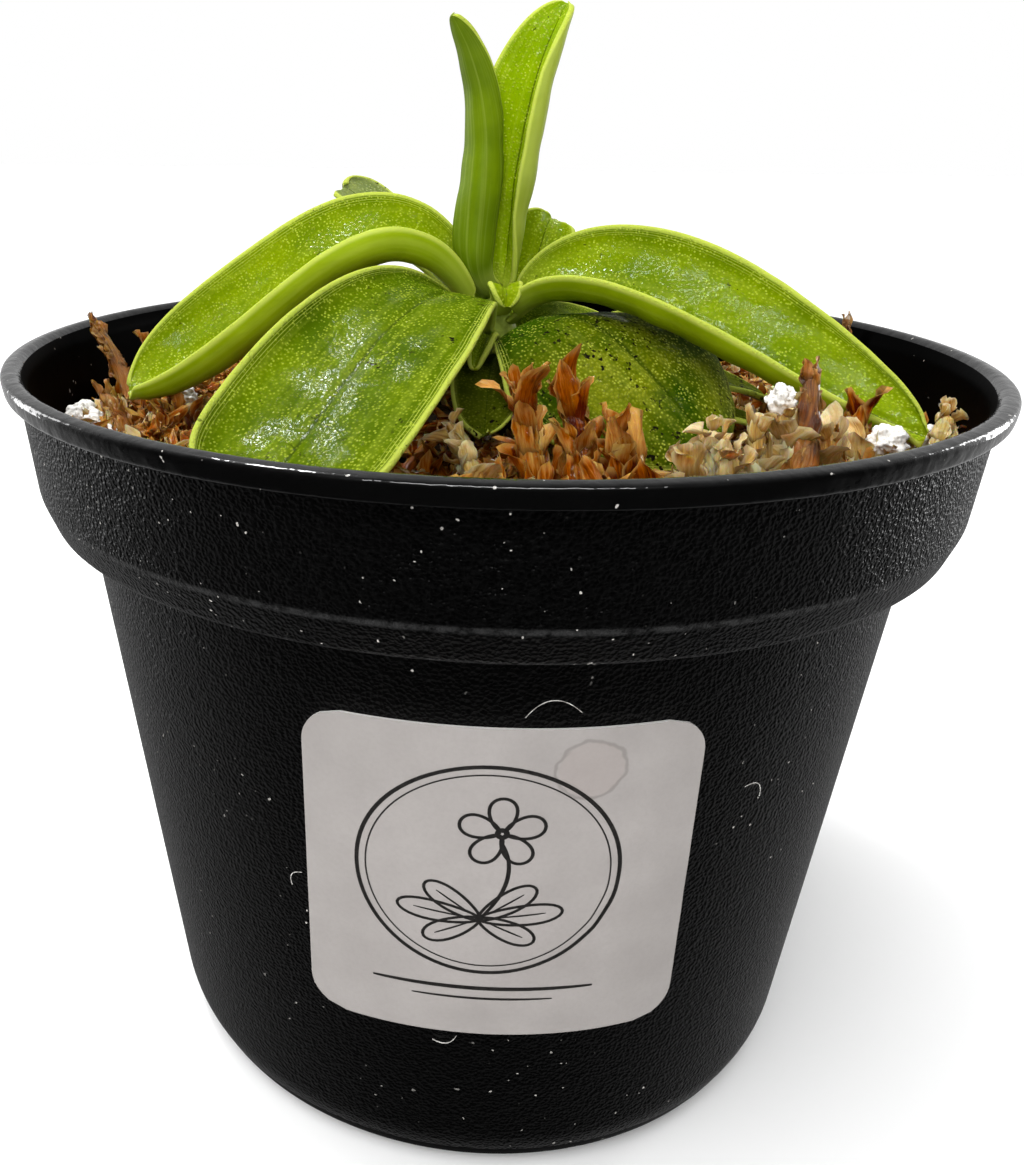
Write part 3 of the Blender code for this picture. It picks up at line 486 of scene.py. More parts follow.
def root_stock():
    """The fleshy stem between the leaf bases."""
    material, tree, shader = new_material("root_stock", Roughness=0.5, IOR=1.4, Subsurface_Weight=0.2,
                                          Subsurface_Scale=0.001, Subsurface_Radius=(0.8, 0.9, 0.3))
    place = add_node(tree, "TexCoord", output="Object")
    uneven = add_node(tree, "TexNoise", None, {"Vector": place, "Scale": per_mm(1.5), "Detail": 3.0})
    colour = add_node(tree, "ValToRGB", {"stops": [(0.3, "#6E7A2C"), (0.7, "#AFC257")]}, [uneven])
    tree.links.new(colour, shader.inputs["Base Color"])
    return material


def paper_sweep():
    """The matt white paper that the pot stands on."""
    material, _, shader = new_material("paper_sweep", Roughness=0.85)
    shader.inputs["Base Color"].default_value = linear("#FFFFFF")
    return material


# Meshes


def mesh_object(name, points, faces, materials, kinds=None, layers=None):
    """A smooth mesh from points in millimetres; layers gives each point its place in named UV maps."""
    mesh = bpy.data.meshes.new(name)
    mesh.from_pydata((np.asarray(points) * MM).tolist(), [], [list(face) for face in faces])
    for material in materials:
        mesh.materials.append(material)
    if kinds is not None:
        mesh.polygons.foreach_set("material_index", np.asarray(kinds, dtype=np.int32))
    corners = np.zeros(len(mesh.loops), dtype=np.int32)
    mesh.loops.foreach_get("vertex_index", corners)
    for title, places in (layers or {}).items():
        layer = mesh.uv_layers.new(name=title)
        layer.data.foreach_set("uv", np.asarray(places, dtype=np.float32)[corners].ravel())
    mesh.shade_smooth()
    piece = bpy.data.objects.new(name, mesh)
    bpy.context.scene.collection.objects.link(piece)
    return piece


def apply_modifiers(piece):
    """Keep the mesh that the piece's modifiers make, and drop the modifiers."""
    graph = bpy.context.evaluated_depsgraph_get()
    mesh = bpy.data.meshes.new_from_object(piece.evaluated_get(graph))
    piece.modifiers.clear()
    piece.data = mesh


def settle(piece, slot, *nodes):
    """Fix a finished piece to the pot's body, in place of the CAD nodes that it stands for."""
    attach(piece, BODY)
    if nodes:
        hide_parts(*nodes)


# The pot, with the profile of the CAD part and rounded corners

LIP_RADIUS = 57.0
POT_HEIGHT = 84.0
LIP_HEIGHT = 2.4
COLLAR_TOP_RADIUS = 55.2
COLLAR_CREASE = (53.8, 70.5)
COLLAR_LOWER = (52.3, 66.9)
BODY_TOP_RADIUS = 48.6
BODY_TOP = 66.0
BODY_BASE_RADIUS = 39.7
BASE_ROUNDING = 4.0
FOOT_RADIUS = 36.5
FOOT_INNER_RADIUS = 30.0
FOOT_STEP = 1.8
FLOOR = 1.2
WALL = 1.1
DRAIN_RADIUS = 3.6
DRAIN_CIRCLE = 21.0
DRAIN_COUNT = 6
POT_STEPS = 240
LIP_BASE = POT_HEIGHT - LIP_HEIGHT
LIP_WIDTH = 2.3              # from the rim's outside to where the shaded wall begins
GRAIN_TOP = LIP_BASE - 0.05  # the grained skin ends just under the lip
SHARP_ANGLE = math.radians(40)


def outer_wall_radius(height):
    """Outside radius of the tapered body."""
    share = (height - BASE_ROUNDING) / (BODY_TOP - BASE_ROUNDING)
    return BODY_BASE_RADIUS + share * (BODY_TOP_RADIUS - BODY_BASE_RADIUS)


def rounded(corners, steps=4):
    """An outline of (radius, height, rounding) corners, each turned into a short arc."""
    points = []
    count = len(corners)
    for i, (r, z, rounding) in enumerate(corners):
        here = np.array([r, z])
        before = np.array(corners[i - 1][:2])
        after = np.array(corners[(i + 1) % count][:2])
        back = before - here
        on = after - here
        reach = min(rounding, 0.45 * np.linalg.norm(back), 0.45 * np.linalg.norm(on))
        start = here + back / np.linalg.norm(back) * reach
        end = here + on / np.linalg.norm(on) * reach
        for step in range(steps + 1):
            t = step / steps
            points.append((1 - t) ** 2 * start + 2 * t * (1 - t) * here + t ** 2 * end)
    return points


def pot_skin(radius, height):
    """Finish of a place on the pot: 0 grained outside, 1 smooth lip and 2 shaded inside."""
    skin = outer_wall_radius(height)
    if height > BODY_TOP:
        share = (height - COLLAR_LOWER[1]) / (LIP_BASE - COLLAR_LOWER[1])
        skin = COLLAR_LOWER[0] + share * (COLLAR_TOP_RADIUS - COLLAR_LOWER[0])
    outside = radius > skin - 0.5 * WALL and height < GRAIN_TOP
    # The step between the body and the collar
    outside = outside or (BODY_TOP < height < COLLAR_LOWER[1] and radius > BODY_TOP_RADIUS)
    if outside:
        return 0
    return 1 if height > GRAIN_TOP and radius > LIP_RADIUS - LIP_WIDTH else 2


def pot_outline():
    """The pot's section as (radius, height, rounding): down the outside and up the inside."""
    return [
        (LIP_RADIUS - 1.5, POT_HEIGHT, 0.5),
        (LIP_RADIUS, POT_HEIGHT - 0.3, 0.9),
        (LIP_RADIUS - 0.4, LIP_BASE, 0.5),
        (COLLAR_TOP_RADIUS, LIP_BASE, 0.25),
        (*COLLAR_CREASE, 0.7),
        (*COLLAR_LOWER, 0.6),
        (BODY_TOP_RADIUS, BODY_TOP, 0.8),
        (BODY_BASE_RADIUS, BASE_ROUNDING, 2.6),
        (FOOT_RADIUS + 1.4, 0.6, 2.2),
        (FOOT_RADIUS, 0.0, 0.4),
        (FOOT_INNER_RADIUS, 0.0, 0.4),
        (FOOT_INNER_RADIUS - 1.0, FOOT_STEP, 0.4),
        (DRAIN_RADIUS, FOOT_STEP, 0.2),
        (DRAIN_RADIUS, FOOT_STEP + FLOOR, 0.2),
        (FOOT_INNER_RADIUS + 0.4, FOOT_STEP + FLOOR, 0.4),
        (FOOT_INNER_RADIUS + 1.4, FLOOR, 0.4),
        (FOOT_RADIUS - 0.5, FLOOR + 0.3, 0.8),
        (BODY_BASE_RADIUS - WALL, BASE_ROUNDING + 0.6, 0.8),
        (BODY_TOP_RADIUS - WALL, BODY_TOP + 0.9, 0.8),
        (COLLAR_LOWER[0] - WALL, COLLAR_LOWER[1] + WALL, 0.6),
        (COLLAR_CREASE[0] - WALL, COLLAR_CREASE[1] + 0.2, 0.6),
        (COLLAR_TOP_RADIUS - WALL, LIP_BASE + 0.4, 0.5),
        (LIP_RADIUS - 2.2, POT_HEIGHT - 0.5, 0.5),
    ]


def drain_plugs():
    """One upright cylinder for each drain hole, to be cut out of the floor."""
    bm = bmesh.new()
    for number in range(DRAIN_COUNT):
        angle = 2 * math.pi * number / DRAIN_COUNT
        x = DRAIN_CIRCLE * MM * math.cos(angle)
        y = DRAIN_CIRCLE * MM * math.sin(angle)
        place = Matrix.Translation((x, y, (FOOT_STEP + FLOOR / 2) * MM))
        bmesh.ops.create_cone(bm, cap_ends=True, segments=40, radius1=DRAIN_RADIUS * MM,
                              radius2=DRAIN_RADIUS * MM, depth=3 * FLOOR * MM, matrix=place)
    mesh = bpy.data.meshes.new("drains")
    bm.to_mesh(mesh)
    bm.free()
    drains = bpy.data.objects.new("drains", mesh)
    bpy.context.scene.collection.objects.link(drains)
    return drains


def build_pot():
    outline = rounded(pot_outline())
    count = len(outline)
    turns = np.arange(POT_STEPS) * 2 * math.pi / POT_STEPS
    radius = np.array([p[0] for p in outline])
    height = np.array([p[1] for p in outline])
    points = np.stack([np.outer(np.cos(turns), radius), np.outer(np.sin(turns), radius),
                       np.tile(height, (POT_STEPS, 1))], -1).reshape(-1, 3)
    faces = []
    kinds = []
    for step in range(POT_STEPS):
        ahead = (step + 1) % POT_STEPS
        for i in range(count):
            j = (i + 1) % count
            faces.append((step * count + i, step * count + j, ahead * count + j, ahead * count + i))
            kinds.append(pot_skin((radius[i] + radius[j]) / 2, (height[i] + height[j]) / 2))
    plastics = [polypropylene_grained(), polypropylene_smooth(), polypropylene_shaded()]
    pot = mesh_object("pot_body", points, faces, plastics, kinds)
    drains = drain_plugs()
    cut = pot.modifiers.new("drain holes", "BOOLEAN")
    cut.operation = "DIFFERENCE"
    cut.object = drains
    apply_modifiers(pot)
    bpy.data.objects.remove(drains, do_unlink=True)
    pot.data.shade_smooth()
    pot.data.set_sharp_from_angle(angle=SHARP_ANGLE)
    settle(pot, "black_plastic", "pot")


# The label and its printed ornament

LABEL_SIDE = 38.0
LABEL_CORNER = 4.0
LABEL_MIDDLE = 39.8
LABEL_TURN = math.radians(2.5)
LABEL_LIFT = 0.3             # the paper's outer face, out from the wall
LABEL_THICKNESS = 0.25
LABEL_STEPS = 64
PRINT_LIFT = 0.02            # the ink's face, out from the paper's
WALL_SLOPE = math.atan2(BODY_TOP_RADIUS - BODY_BASE_RADIUS, BODY_TOP - BASE_ROUNDING)


def label_point(across, up, lift):
    """Point over the wall at distances across and up from the label's middle."""
    height = LABEL_MIDDLE + up * math.cos(WALL_SLOPE) - lift * math.sin(WALL_SLOPE)
    base = LABEL_MIDDLE + up * math.cos(WALL_SLOPE)
    radius = outer_wall_radius(base) + lift * math.cos(WALL_SLOPE)
    angle = LABEL_TURN - math.pi / 2 + across / outer_wall_radius(base)
    return (radius * math.cos(angle), radius * math.sin(angle), height)


# The ring that a water drop left
STAIN_PLACE = label_point(8.0, 14.4, LABEL_LIFT)
STAIN_RADIUS = 3.2

# Wrinkles: where they are strongest, their height there, and that of the slow waves all over
CREASE_PLACE = (13.0, -2.0)
CREASE_HEIGHT = 0.06
WAVE_HEIGHT = 0.03


def crease_height(across, up):
    """Small wrinkles in the paper, strongest near its right edge."""
    swell = math.exp(-((across - CREASE_PLACE[0]) ** 2 + (up - CREASE_PLACE[1]) ** 2) / 40.0)
    ridge = math.sin(across * 1.3 + up * 0.9 + 2.0 * noise.noise(Vector((across * 0.2, up * 0.2, 0.0))))
    slow = noise.noise(Vector((across * 0.12, up * 0.12, 5.0)))
    return CREASE_HEIGHT * swell * ridge + WAVE_HEIGHT * slow


def build_label():
    """A square sheet with round corners that lies on the wall."""
    share = np.linspace(-1, 1, LABEL_STEPS + 1)
    half = LABEL_SIDE / 2
    points = []
    for lift in (LABEL_LIFT, LABEL_LIFT - LABEL_THICKNESS):
        for up in share * half:
            inset = max(abs(up) - (half - LABEL_CORNER), 0.0)
            reach = half - LABEL_CORNER + math.sqrt(max(LABEL_CORNER ** 2 - inset ** 2, 0.0))
            for across in share * reach:
                points.append(label_point(across, up, lift + crease_height(across, up)))
    width = LABEL_STEPS + 1
    layer = width * width
    faces = []
    for i in range(LABEL_STEPS):
        for j in range(LABEL_STEPS):
            a = i * width + j
            b = a + layer
            faces.append((a, a + 1, a + width + 1, a + width))
            faces.append((b, b + width, b + width + 1, b + 1))
    kinds = [0] * len(faces)
    rim = list(range(width))
    rim += [i * width + LABEL_STEPS for i in range(1, width)]
    rim += [LABEL_STEPS * width + j for j in range(LABEL_STEPS - 1, -1, -1)]
    rim += [i * width for i in range(LABEL_STEPS - 1, 0, -1)]
    for here, ahead in zip(rim, rim[1:] + rim[:1]):
        faces.append((here, here + layer, ahead + layer, ahead))
        kinds.append(1)
    label = mesh_object("paper_label", points, faces, [label_paper(), paper_cut_edge()], kinds)
    label.data.set_sharp_from_angle(angle=SHARP_ANGLE)
    settle(label, "label_paper", "label")


def ribbon(points, faces, path, width, closed=False):
    """A flat printed line along a path of (across, up) places, tapering at its open ends."""
    path = np.asarray(path, dtype=float)
    count = len(path)
    ahead = np.roll(path, -1, axis=0)
    behind = np.roll(path, 1, axis=0)
    if not closed:
        ahead[-1] = path[-1]
        behind[0] = path[0]
    direction = ahead - behind
    direction /= np.linalg.norm(direction, axis=1)[:, None]
    side = np.stack([-direction[:, 1], direction[:, 0]], -1)
    taper = np.ones(count)
    if not closed:
        taper = 0.45 + 0.55 * np.sin(np.linspace(0, math.pi, count)) ** 0.5
    start = len(points)
    for place, out, thin in zip(path, side, taper):
        for sign in (1, -1):
            across, up = place + out * sign * width / 2 * thin
            points.append(label_point(across, up, LABEL_LIFT + crease_height(across, up) + PRINT_LIFT))
    last = count if closed else count - 1
    for i in range(last):
        j = (i + 1) % count
        a = start + 2 * i
        b = start + 2 * j
        faces.append((a, a + 1, b + 1, b))


# The ornament, all in millimetres from the label's middle
RING_MIDDLE = (-1.0, 2.2)
RINGS = ((12.6, 0.42), (11.7, 0.16))         # radius and line width
FLOWER_OFFSET = (1.2, 5.0)
PETAL_COUNT = 5
FOOT_OFFSET = (-0.6, -5.6)
ROSETTE = ((8, 8.0), (38, 6.6), (142, 6.6), (172, 8.0), (-28, 6.0), (208, 6.0))  # degrees and length
RULES = ((-12.6, 11.0, 0.5), (-14.0, 7.0, 0.3))  # height, half length and line width

# Widths of the other printed lines
PETAL_LINE = 0.34
HEART_LINE = 0.3
STALK_LINE = 0.42
LEAF_LINE = 0.32
RIB_LINE = 0.2


def build_print():
    """A plain line ornament: a flower on a bent stalk over a rosette, in a ring, above two rules."""
    points = []
    faces = []
    turns = np.linspace(0, 2 * math.pi, 96, endpoint=False)
    middle = np.array(RING_MIDDLE)
    for radius, width in RINGS:
        ribbon(points, faces, middle + radius * np.stack([np.cos(turns), np.sin(turns)], -1), width, True)
    flower = middle + np.array(FLOWER_OFFSET)
    loop = np.linspace(0, 2 * math.pi, 30, endpoint=False)
    for number in range(PETAL_COUNT):
        angle = math.radians(90 + 360 / PETAL_COUNT * number)
        out = np.array([math.cos(angle), math.sin(angle)])
        aside = np.array([-out[1], out[0]])
        reach = 2.2 + 1.9 * np.cos(loop)
        swing = 1.25 * np.sin(loop) * (1.0 + 0.25 * np.cos(loop))
        ribbon(points, faces, flower + reach[:, None] * out + swing[:, None] * aside, PETAL_LINE, True)
    ribbon(points, faces, flower + 0.55 * np.stack([np.cos(loop), np.sin(loop)], -1), HEART_LINE, True)
    foot = middle + np.array(FOOT_OFFSET)
    share = np.linspace(0, 1, 24)[:, None]
    rest = 1 - share
    stalk = rest ** 2 * (flower - (0, 1.0)) + 2 * share * rest * (flower + (2.2, -5.5)) + share ** 2 * foot
    ribbon(points, faces, stalk, STALK_LINE)
    for angle, length in ROSETTE:
        out = np.array([math.cos(math.radians(angle)), math.sin(math.radians(angle))])
        aside = np.array([-out[1], out[0]])
        reach = length * (0.5 - 0.5 * np.cos(loop))
        swing = 1.5 * np.sin(loop) * (0.6 + 0.4 * reach / length)
        ribbon(points, faces, foot + reach[:, None] * out + swing[:, None] * aside, LEAF_LINE, True)
        rib = np.linspace(0.15, 0.8, 10)[:, None] * length
        ribbon(points, faces, foot + rib * out, RIB_LINE)
    for up, half, width in RULES:
        ribbon(points, faces, np.stack([np.linspace(-half - 1, half - 1, 40), np.full(40, up)], -1), width)
    ink = mesh_object("label_print", points, faces, [printing_ink()])
    settle(ink, "label_paper")


# Lint on the wall: across and up from the label's middle, length, heading in degrees and bend
LINT = [
    (4.2, 20.4, 5.0, 5, 1.6), (-20.4, -3.0, 2.4, 60, 0.7), (-4.6, -20.2, 2.6, 20, -0.8),
    (26.0, 8.0, 3.0, -40, 1.0),
]
LINT_THICKNESS = 0.09
LINT_LIFT = 0.12             # the fibre's middle, out from the wall
LINT_STEPS = 20
LINT_SIDES = 6


def build_lint():
    """Fine tubes that lie on the wall in loose arcs."""
    points = []
    faces = []
    share = np.linspace(-1, 1, LINT_STEPS)
    for across, up, length, heading, bend in LINT:
        way = math.radians(heading)
        sag = bend * (1 - share ** 2)
        x = across + share * length / 2 * math.cos(way) - sag * math.sin(way)
        y = up + share * length / 2 * math.sin(way) + sag * math.cos(way)
        start = len(points)
        for i in range(LINT_STEPS):
            for j in range(LINT_SIDES):
                turn = 2 * math.pi * j / LINT_SIDES
                out = LINT_THICKNESS / 2 * math.cos(turn)
                lift = LINT_LIFT + LINT_THICKNESS / 2 * math.sin(turn)
                points.append(label_point(x[i] - out * math.sin(way), y[i] + out * math.cos(way), lift))
        for i in range(LINT_STEPS - 1):
            a = start + i * LINT_SIDES
            for j in range(LINT_SIDES):
                k = (j + 1) % LINT_SIDES
                faces.append((a + j, a + k, a + LINT_SIDES + k, a + LINT_SIDES + j))
    settle(mesh_object("lint", points, faces, [lint_fibre()]), "label_paper")


# The leaves

SOFTEST_CURL = 1.5           # tightest radius that a blade curls to where it is narrow
MARGIN_START = 0.7           # the outer part of a half blade rolls further than the rest
TIP_SHARE = 0.05             # width of the last row
TIP_CROWDING = 1.6
LAMINA = 0.28                # half the blade's thickness between midrib and margin
BEAD = 0.32                  # half the thickness of the rolled margin
RIB = 0.42                   # extra half thickness at the midrib by the crown
RIB_SPREAD = 0.9             # how far the rib, the bead and the groove reach sideways
BEAD_SPREAD = 0.45
GROOVE_SPREAD = 0.55
GROOVE = 0.42                # half the groove's depth over the midrib
PUCKER = 0.18                # height of the small puckers all over, and their size
PUCKER_SIZE = 3.2
ROOT_REACH = 1.4             # how far a blade runs on into the crown


class Blade:
    """One leaf; the shape values, down to blunt, are those of the CAD part.

    heading   the way it grows, in degrees from +X
    spine     Bezier points of its midrib, as distance from the pot's axis and height
    width     of the flattened blade
    left      degrees that its left half curls upward, and further degrees at the margin
    right     the same for its right half
    bank      sideways tilt in degrees, at the crown and at the tip
    sway      how far the tip swings to the left
    neck      width at the crown, as a share of the full width
    shoulder  1 for a blade that widens evenly, less for one that widens at once
    widest    where along the blade the full width is reached
    blunt     1.5 for a pointed tip and 3.5 for a broad one
    rows      of points along the blade
    columns   of points across it
    waves     height of the slow waves along the margin
    look      name of its finish
    """

    def __init__(self, name, heading, spine, width, left, right, bank=(0, 0), sway=0.0, neck=0.3,
                 shoulder=1.3, widest=0.55, blunt=2.2, rows=110, columns=48, waves=0.25,
                 look="prime"):
        self.name = name
        self.heading = math.radians(heading)
        self.spine = np.array(spine)
        self.width = width
        self.left = left
        self.right = right
        self.bank = bank
        self.sway = sway
        self.neck = neck
        self.shoulder = shoulder
        self.widest = widest
        self.blunt = blunt
        self.rows = rows
        self.columns = columns
        self.waves = waves
        self.look = look

    def midrib(self, along):
        """Points of the midrib, a Bezier curve that sways sideways towards the tip."""
        rest = 1 - along
        weights = np.stack([rest ** 3, 3 * rest ** 2 * along, 3 * rest * along ** 2, along ** 3], -1)
        reach, height = (weights @ self.spine).T
        out = np.array([math.cos(self.heading), math.sin(self.heading), 0.0])
        aside = np.array([-out[1], out[0], 0.0])
        return (reach[:, None] * out + (self.sway * along ** 2)[:, None] * aside
                + height[:, None] * UP)

    def half_width(self, along):
        """Half the flattened blade's width: it grows from the neck and closes round the tip."""
        grow = np.sin(math.pi / 2 * np.minimum(along / self.widest, 1.0)) ** self.shoulder
        grow = self.neck + (1 - self.neck) * grow
        past = np.maximum(0.0, (along - self.widest) / (1 - self.widest))
        close = np.sqrt(np.maximum(1 - past ** self.blunt, 0.0))
        return self.width / 2 * grow * np.maximum(close, TIP_SHARE)

    def section(self, across, half):
        """Sideways and upward offsets of the curled cross-sections, one row for each half width."""
        steps = 24
        curl = np.where(across >= 0, self.left[0], self.right[0])
        roll = np.where(across >= 0, self.left[1], self.right[1])
        most = np.degrees(half / SOFTEST_CURL)[:, None]
        ease = np.minimum(1.0, most / np.maximum(np.abs(curl) + np.abs(roll), 1.0))
        here = np.abs(across)[:, None] * (np.arange(steps) + 0.5) / steps
        margin = np.maximum(0.0, (here - MARGIN_START) / (1 - MARGIN_START))
        angle = np.radians((curl[:, None] * here + roll[:, None] * margin)[None] * ease[:, :, None])
        side = np.cos(angle).mean(-1) * across * half[:, None]
        lift = np.sin(angle).mean(-1) * np.abs(across) * half[:, None]
        return side, lift

    def surface(self, along, across):
        """Points of the middle surface, by rows from the crown to the tip."""
        step = 0.001
        tangent = self.midrib(np.minimum(along + step, 1.0)) - self.midrib(np.maximum(along - step, 0.0))
        tangent /= np.linalg.norm(tangent, axis=1)[:, None]
        level = np.array([-math.sin(self.heading), math.cos(self.heading), 0.0])
        aside = level - tangent * (tangent @ level)[:, None]
        aside /= np.linalg.norm(aside, axis=1)[:, None]
        upward = np.cross(tangent, aside)
        tilt = np.radians(self.bank[0] + (self.bank[1] - self.bank[0]) * along)[:, None]
        left = aside * np.cos(tilt) + upward * np.sin(tilt)
        top = upward * np.cos(tilt) - aside * np.sin(tilt)
        side, lift = self.section(across, self.half_width(along))
        spread = side[..., None] * left[:, None] + lift[..., None] * top[:, None]
        return self.midrib(along)[:, None] + spread


BLADES = [
    Blade("leaf_upright_front", -131, [(1.8, 91.0), (9.0, 95.5), (-3.5, 107.0), (5.0, 121.2)], 7.8,
          left=(115, 34), right=(65, 44), bank=(37, 5), sway=-3.3, neck=0.34, widest=0.4, blunt=1.5,
          look="outer", waves=0.1),
    Blade("leaf_upright_back", 55, [(1.8, 91.0), (1.8, 97.0), (1.1, 113.5), (6.3, 122.8)], 12.0,
          left=(38, 0), right=(80, 110), bank=(0, 4), sway=-4.0, neck=0.2, widest=0.52, blunt=1.6,
          look="inner", waves=0.1),
    Blade("leaf_curled_small", -79, [(3.4, 89.7), (4.4, 92.3), (6.2, 92.2), (6.6, 89.6)], 3.6,
          left=(30, 0), right=(30, 0), neck=0.5, widest=0.5, rows=40, columns=20, look="prime", waves=0.0),
    Blade("leaf_small_right_back", 44, [(3.2, 88.8), (6.7, 92.0), (7.8, 98.6), (9.0, 98.6)], 9.0,
          left=(38, 0), right=(10, 0), bank=(2, 19), neck=0.3, widest=0.5, blunt=2.1,
          rows=60, columns=30, look="prime", waves=0.1),
    Blade("leaf_small_left_back", 131, [(3.3, 87.4), (10.0, 92.6), (27.0, 100.4), (27.8, 101.4)], 9.4,
          left=(23, -20), right=(15, 14), bank=(-3, 5), sway=3.3, neck=0.3, widest=0.75, blunt=2.9,
          rows=70, columns=30, look="pale", waves=0.15),
    Blade("leaf_long_left", -174, [(3.8, 89.4), (15.0, 106.0), (26.0, 81.0), (44.0, 78.4)], 20.3,
          left=(100, 50), right=(30, 13), bank=(-24, -42), sway=1.5, neck=0.3, shoulder=0.62,
          widest=0.5, blunt=3.2, look="prime"),
    Blade("leaf_long_right", -23, [(3.2, 88.4), (13.7, 98.3), (32.2, 83.0), (48.6, 78.5)], 18.0,
          left=(34, 22), right=(98, 25), bank=(34, 42), sway=1.8, neck=0.2, shoulder=0.45,
          widest=0.45, blunt=1.6, look="prime"),
    Blade("leaf_broad_front_left", -117, [(3.6, 86.9), (15.0, 98.6), (29.0, 86.2), (47.5, 76.0)], 21.5,
          left=(-3, -3), right=(24, 46), bank=(-8, 4), neck=0.14, shoulder=0.9, widest=0.8, blunt=3.5,
          look="broad", columns=60),
    Blade("leaf_broad_front_right", -50, [(3.3, 85.0), (14.0, 92.8), (18.0, 88.5), (30.6, 77.0)], 30.0,
          left=(-24, -24), right=(-34, 0), bank=(-2, 12), sway=5.0, neck=0.14, shoulder=0.9, widest=0.6,
          blunt=2.0, look="spotted", columns=60),
    Blade("leaf_narrow_front", -98, [(3.3, 85.1), (6.0, 86.2), (10.0, 87.2), (15.0, 84.0)], 2.4,
          left=(25, 0), right=(25, 0), neck=0.5, widest=0.5, rows=40, columns=16, look="prime", waves=0.0),
    Blade("leaf_low_front", -92, [(3.3, 82.8), (8.0, 84.6), (15.0, 83.2), (21.5, 78.4)], 8.0,
          left=(-15, 0), right=(15, 0), bank=(0, 10), neck=0.35, widest=0.55, rows=50, columns=26,
          look="dull"),
    Blade("leaf_low_right", -6, [(3.3, 82.4), (12.0, 84.0), (22.0, 82.6), (32.0, 79.0)], 10.5,
          left=(15, 0), right=(15, 0), neck=0.3, widest=0.55, rows=60, columns=26, look="dull"),
    Blade("leaf_low_right_inner", -21, [(3.3, 80.6), (11.0, 80.2), (22.0, 80.0), (33.5, 77.4)], 8.0,
          left=(12, 0), right=(12, 0), neck=0.3, widest=0.55, rows=60, columns=26, look="dull"),
    Blade("leaf_back", 88, [(3.3, 85.6), (12.0, 92.0), (26.0, 89.0), (40.0, 77.6)], 19.0,
          left=(35, 12), right=(30, 10), neck=0.18, shoulder=0.9, blunt=2.6, look="prime"),
    Blade("leaf_back_right", 47, [(3.3, 83.6), (12.0, 86.6), (25.0, 85.0), (38.0, 77.4)], 17.0,
          left=(28, 10), right=(32, 12), neck=0.18, shoulder=0.9, blunt=2.5, look="broad"),
    Blade("leaf_back_left", 144, [(3.3, 83.6), (12.0, 86.6), (25.0, 85.0), (38.5, 77.4)], 18.0,
          left=(30, 10), right=(28, 12), neck=0.18, shoulder=0.9, blunt=2.6, look="broad"),
]


def unit(vectors):
    """The vectors, each brought to length 1."""
    return vectors / np.maximum(np.linalg.norm(vectors, axis=-1, keepdims=True), 1e-9)


def rounded_edge(middle, thick, normal, outward):
    """Three rows of points that turn from the upper face round a margin to the lower one."""
    return np.stack([middle + thick * (normal * math.cos(turn) + outward * math.sin(turn))
                     for turn in np.radians([45.0, 90.0, 135.0])], 1)


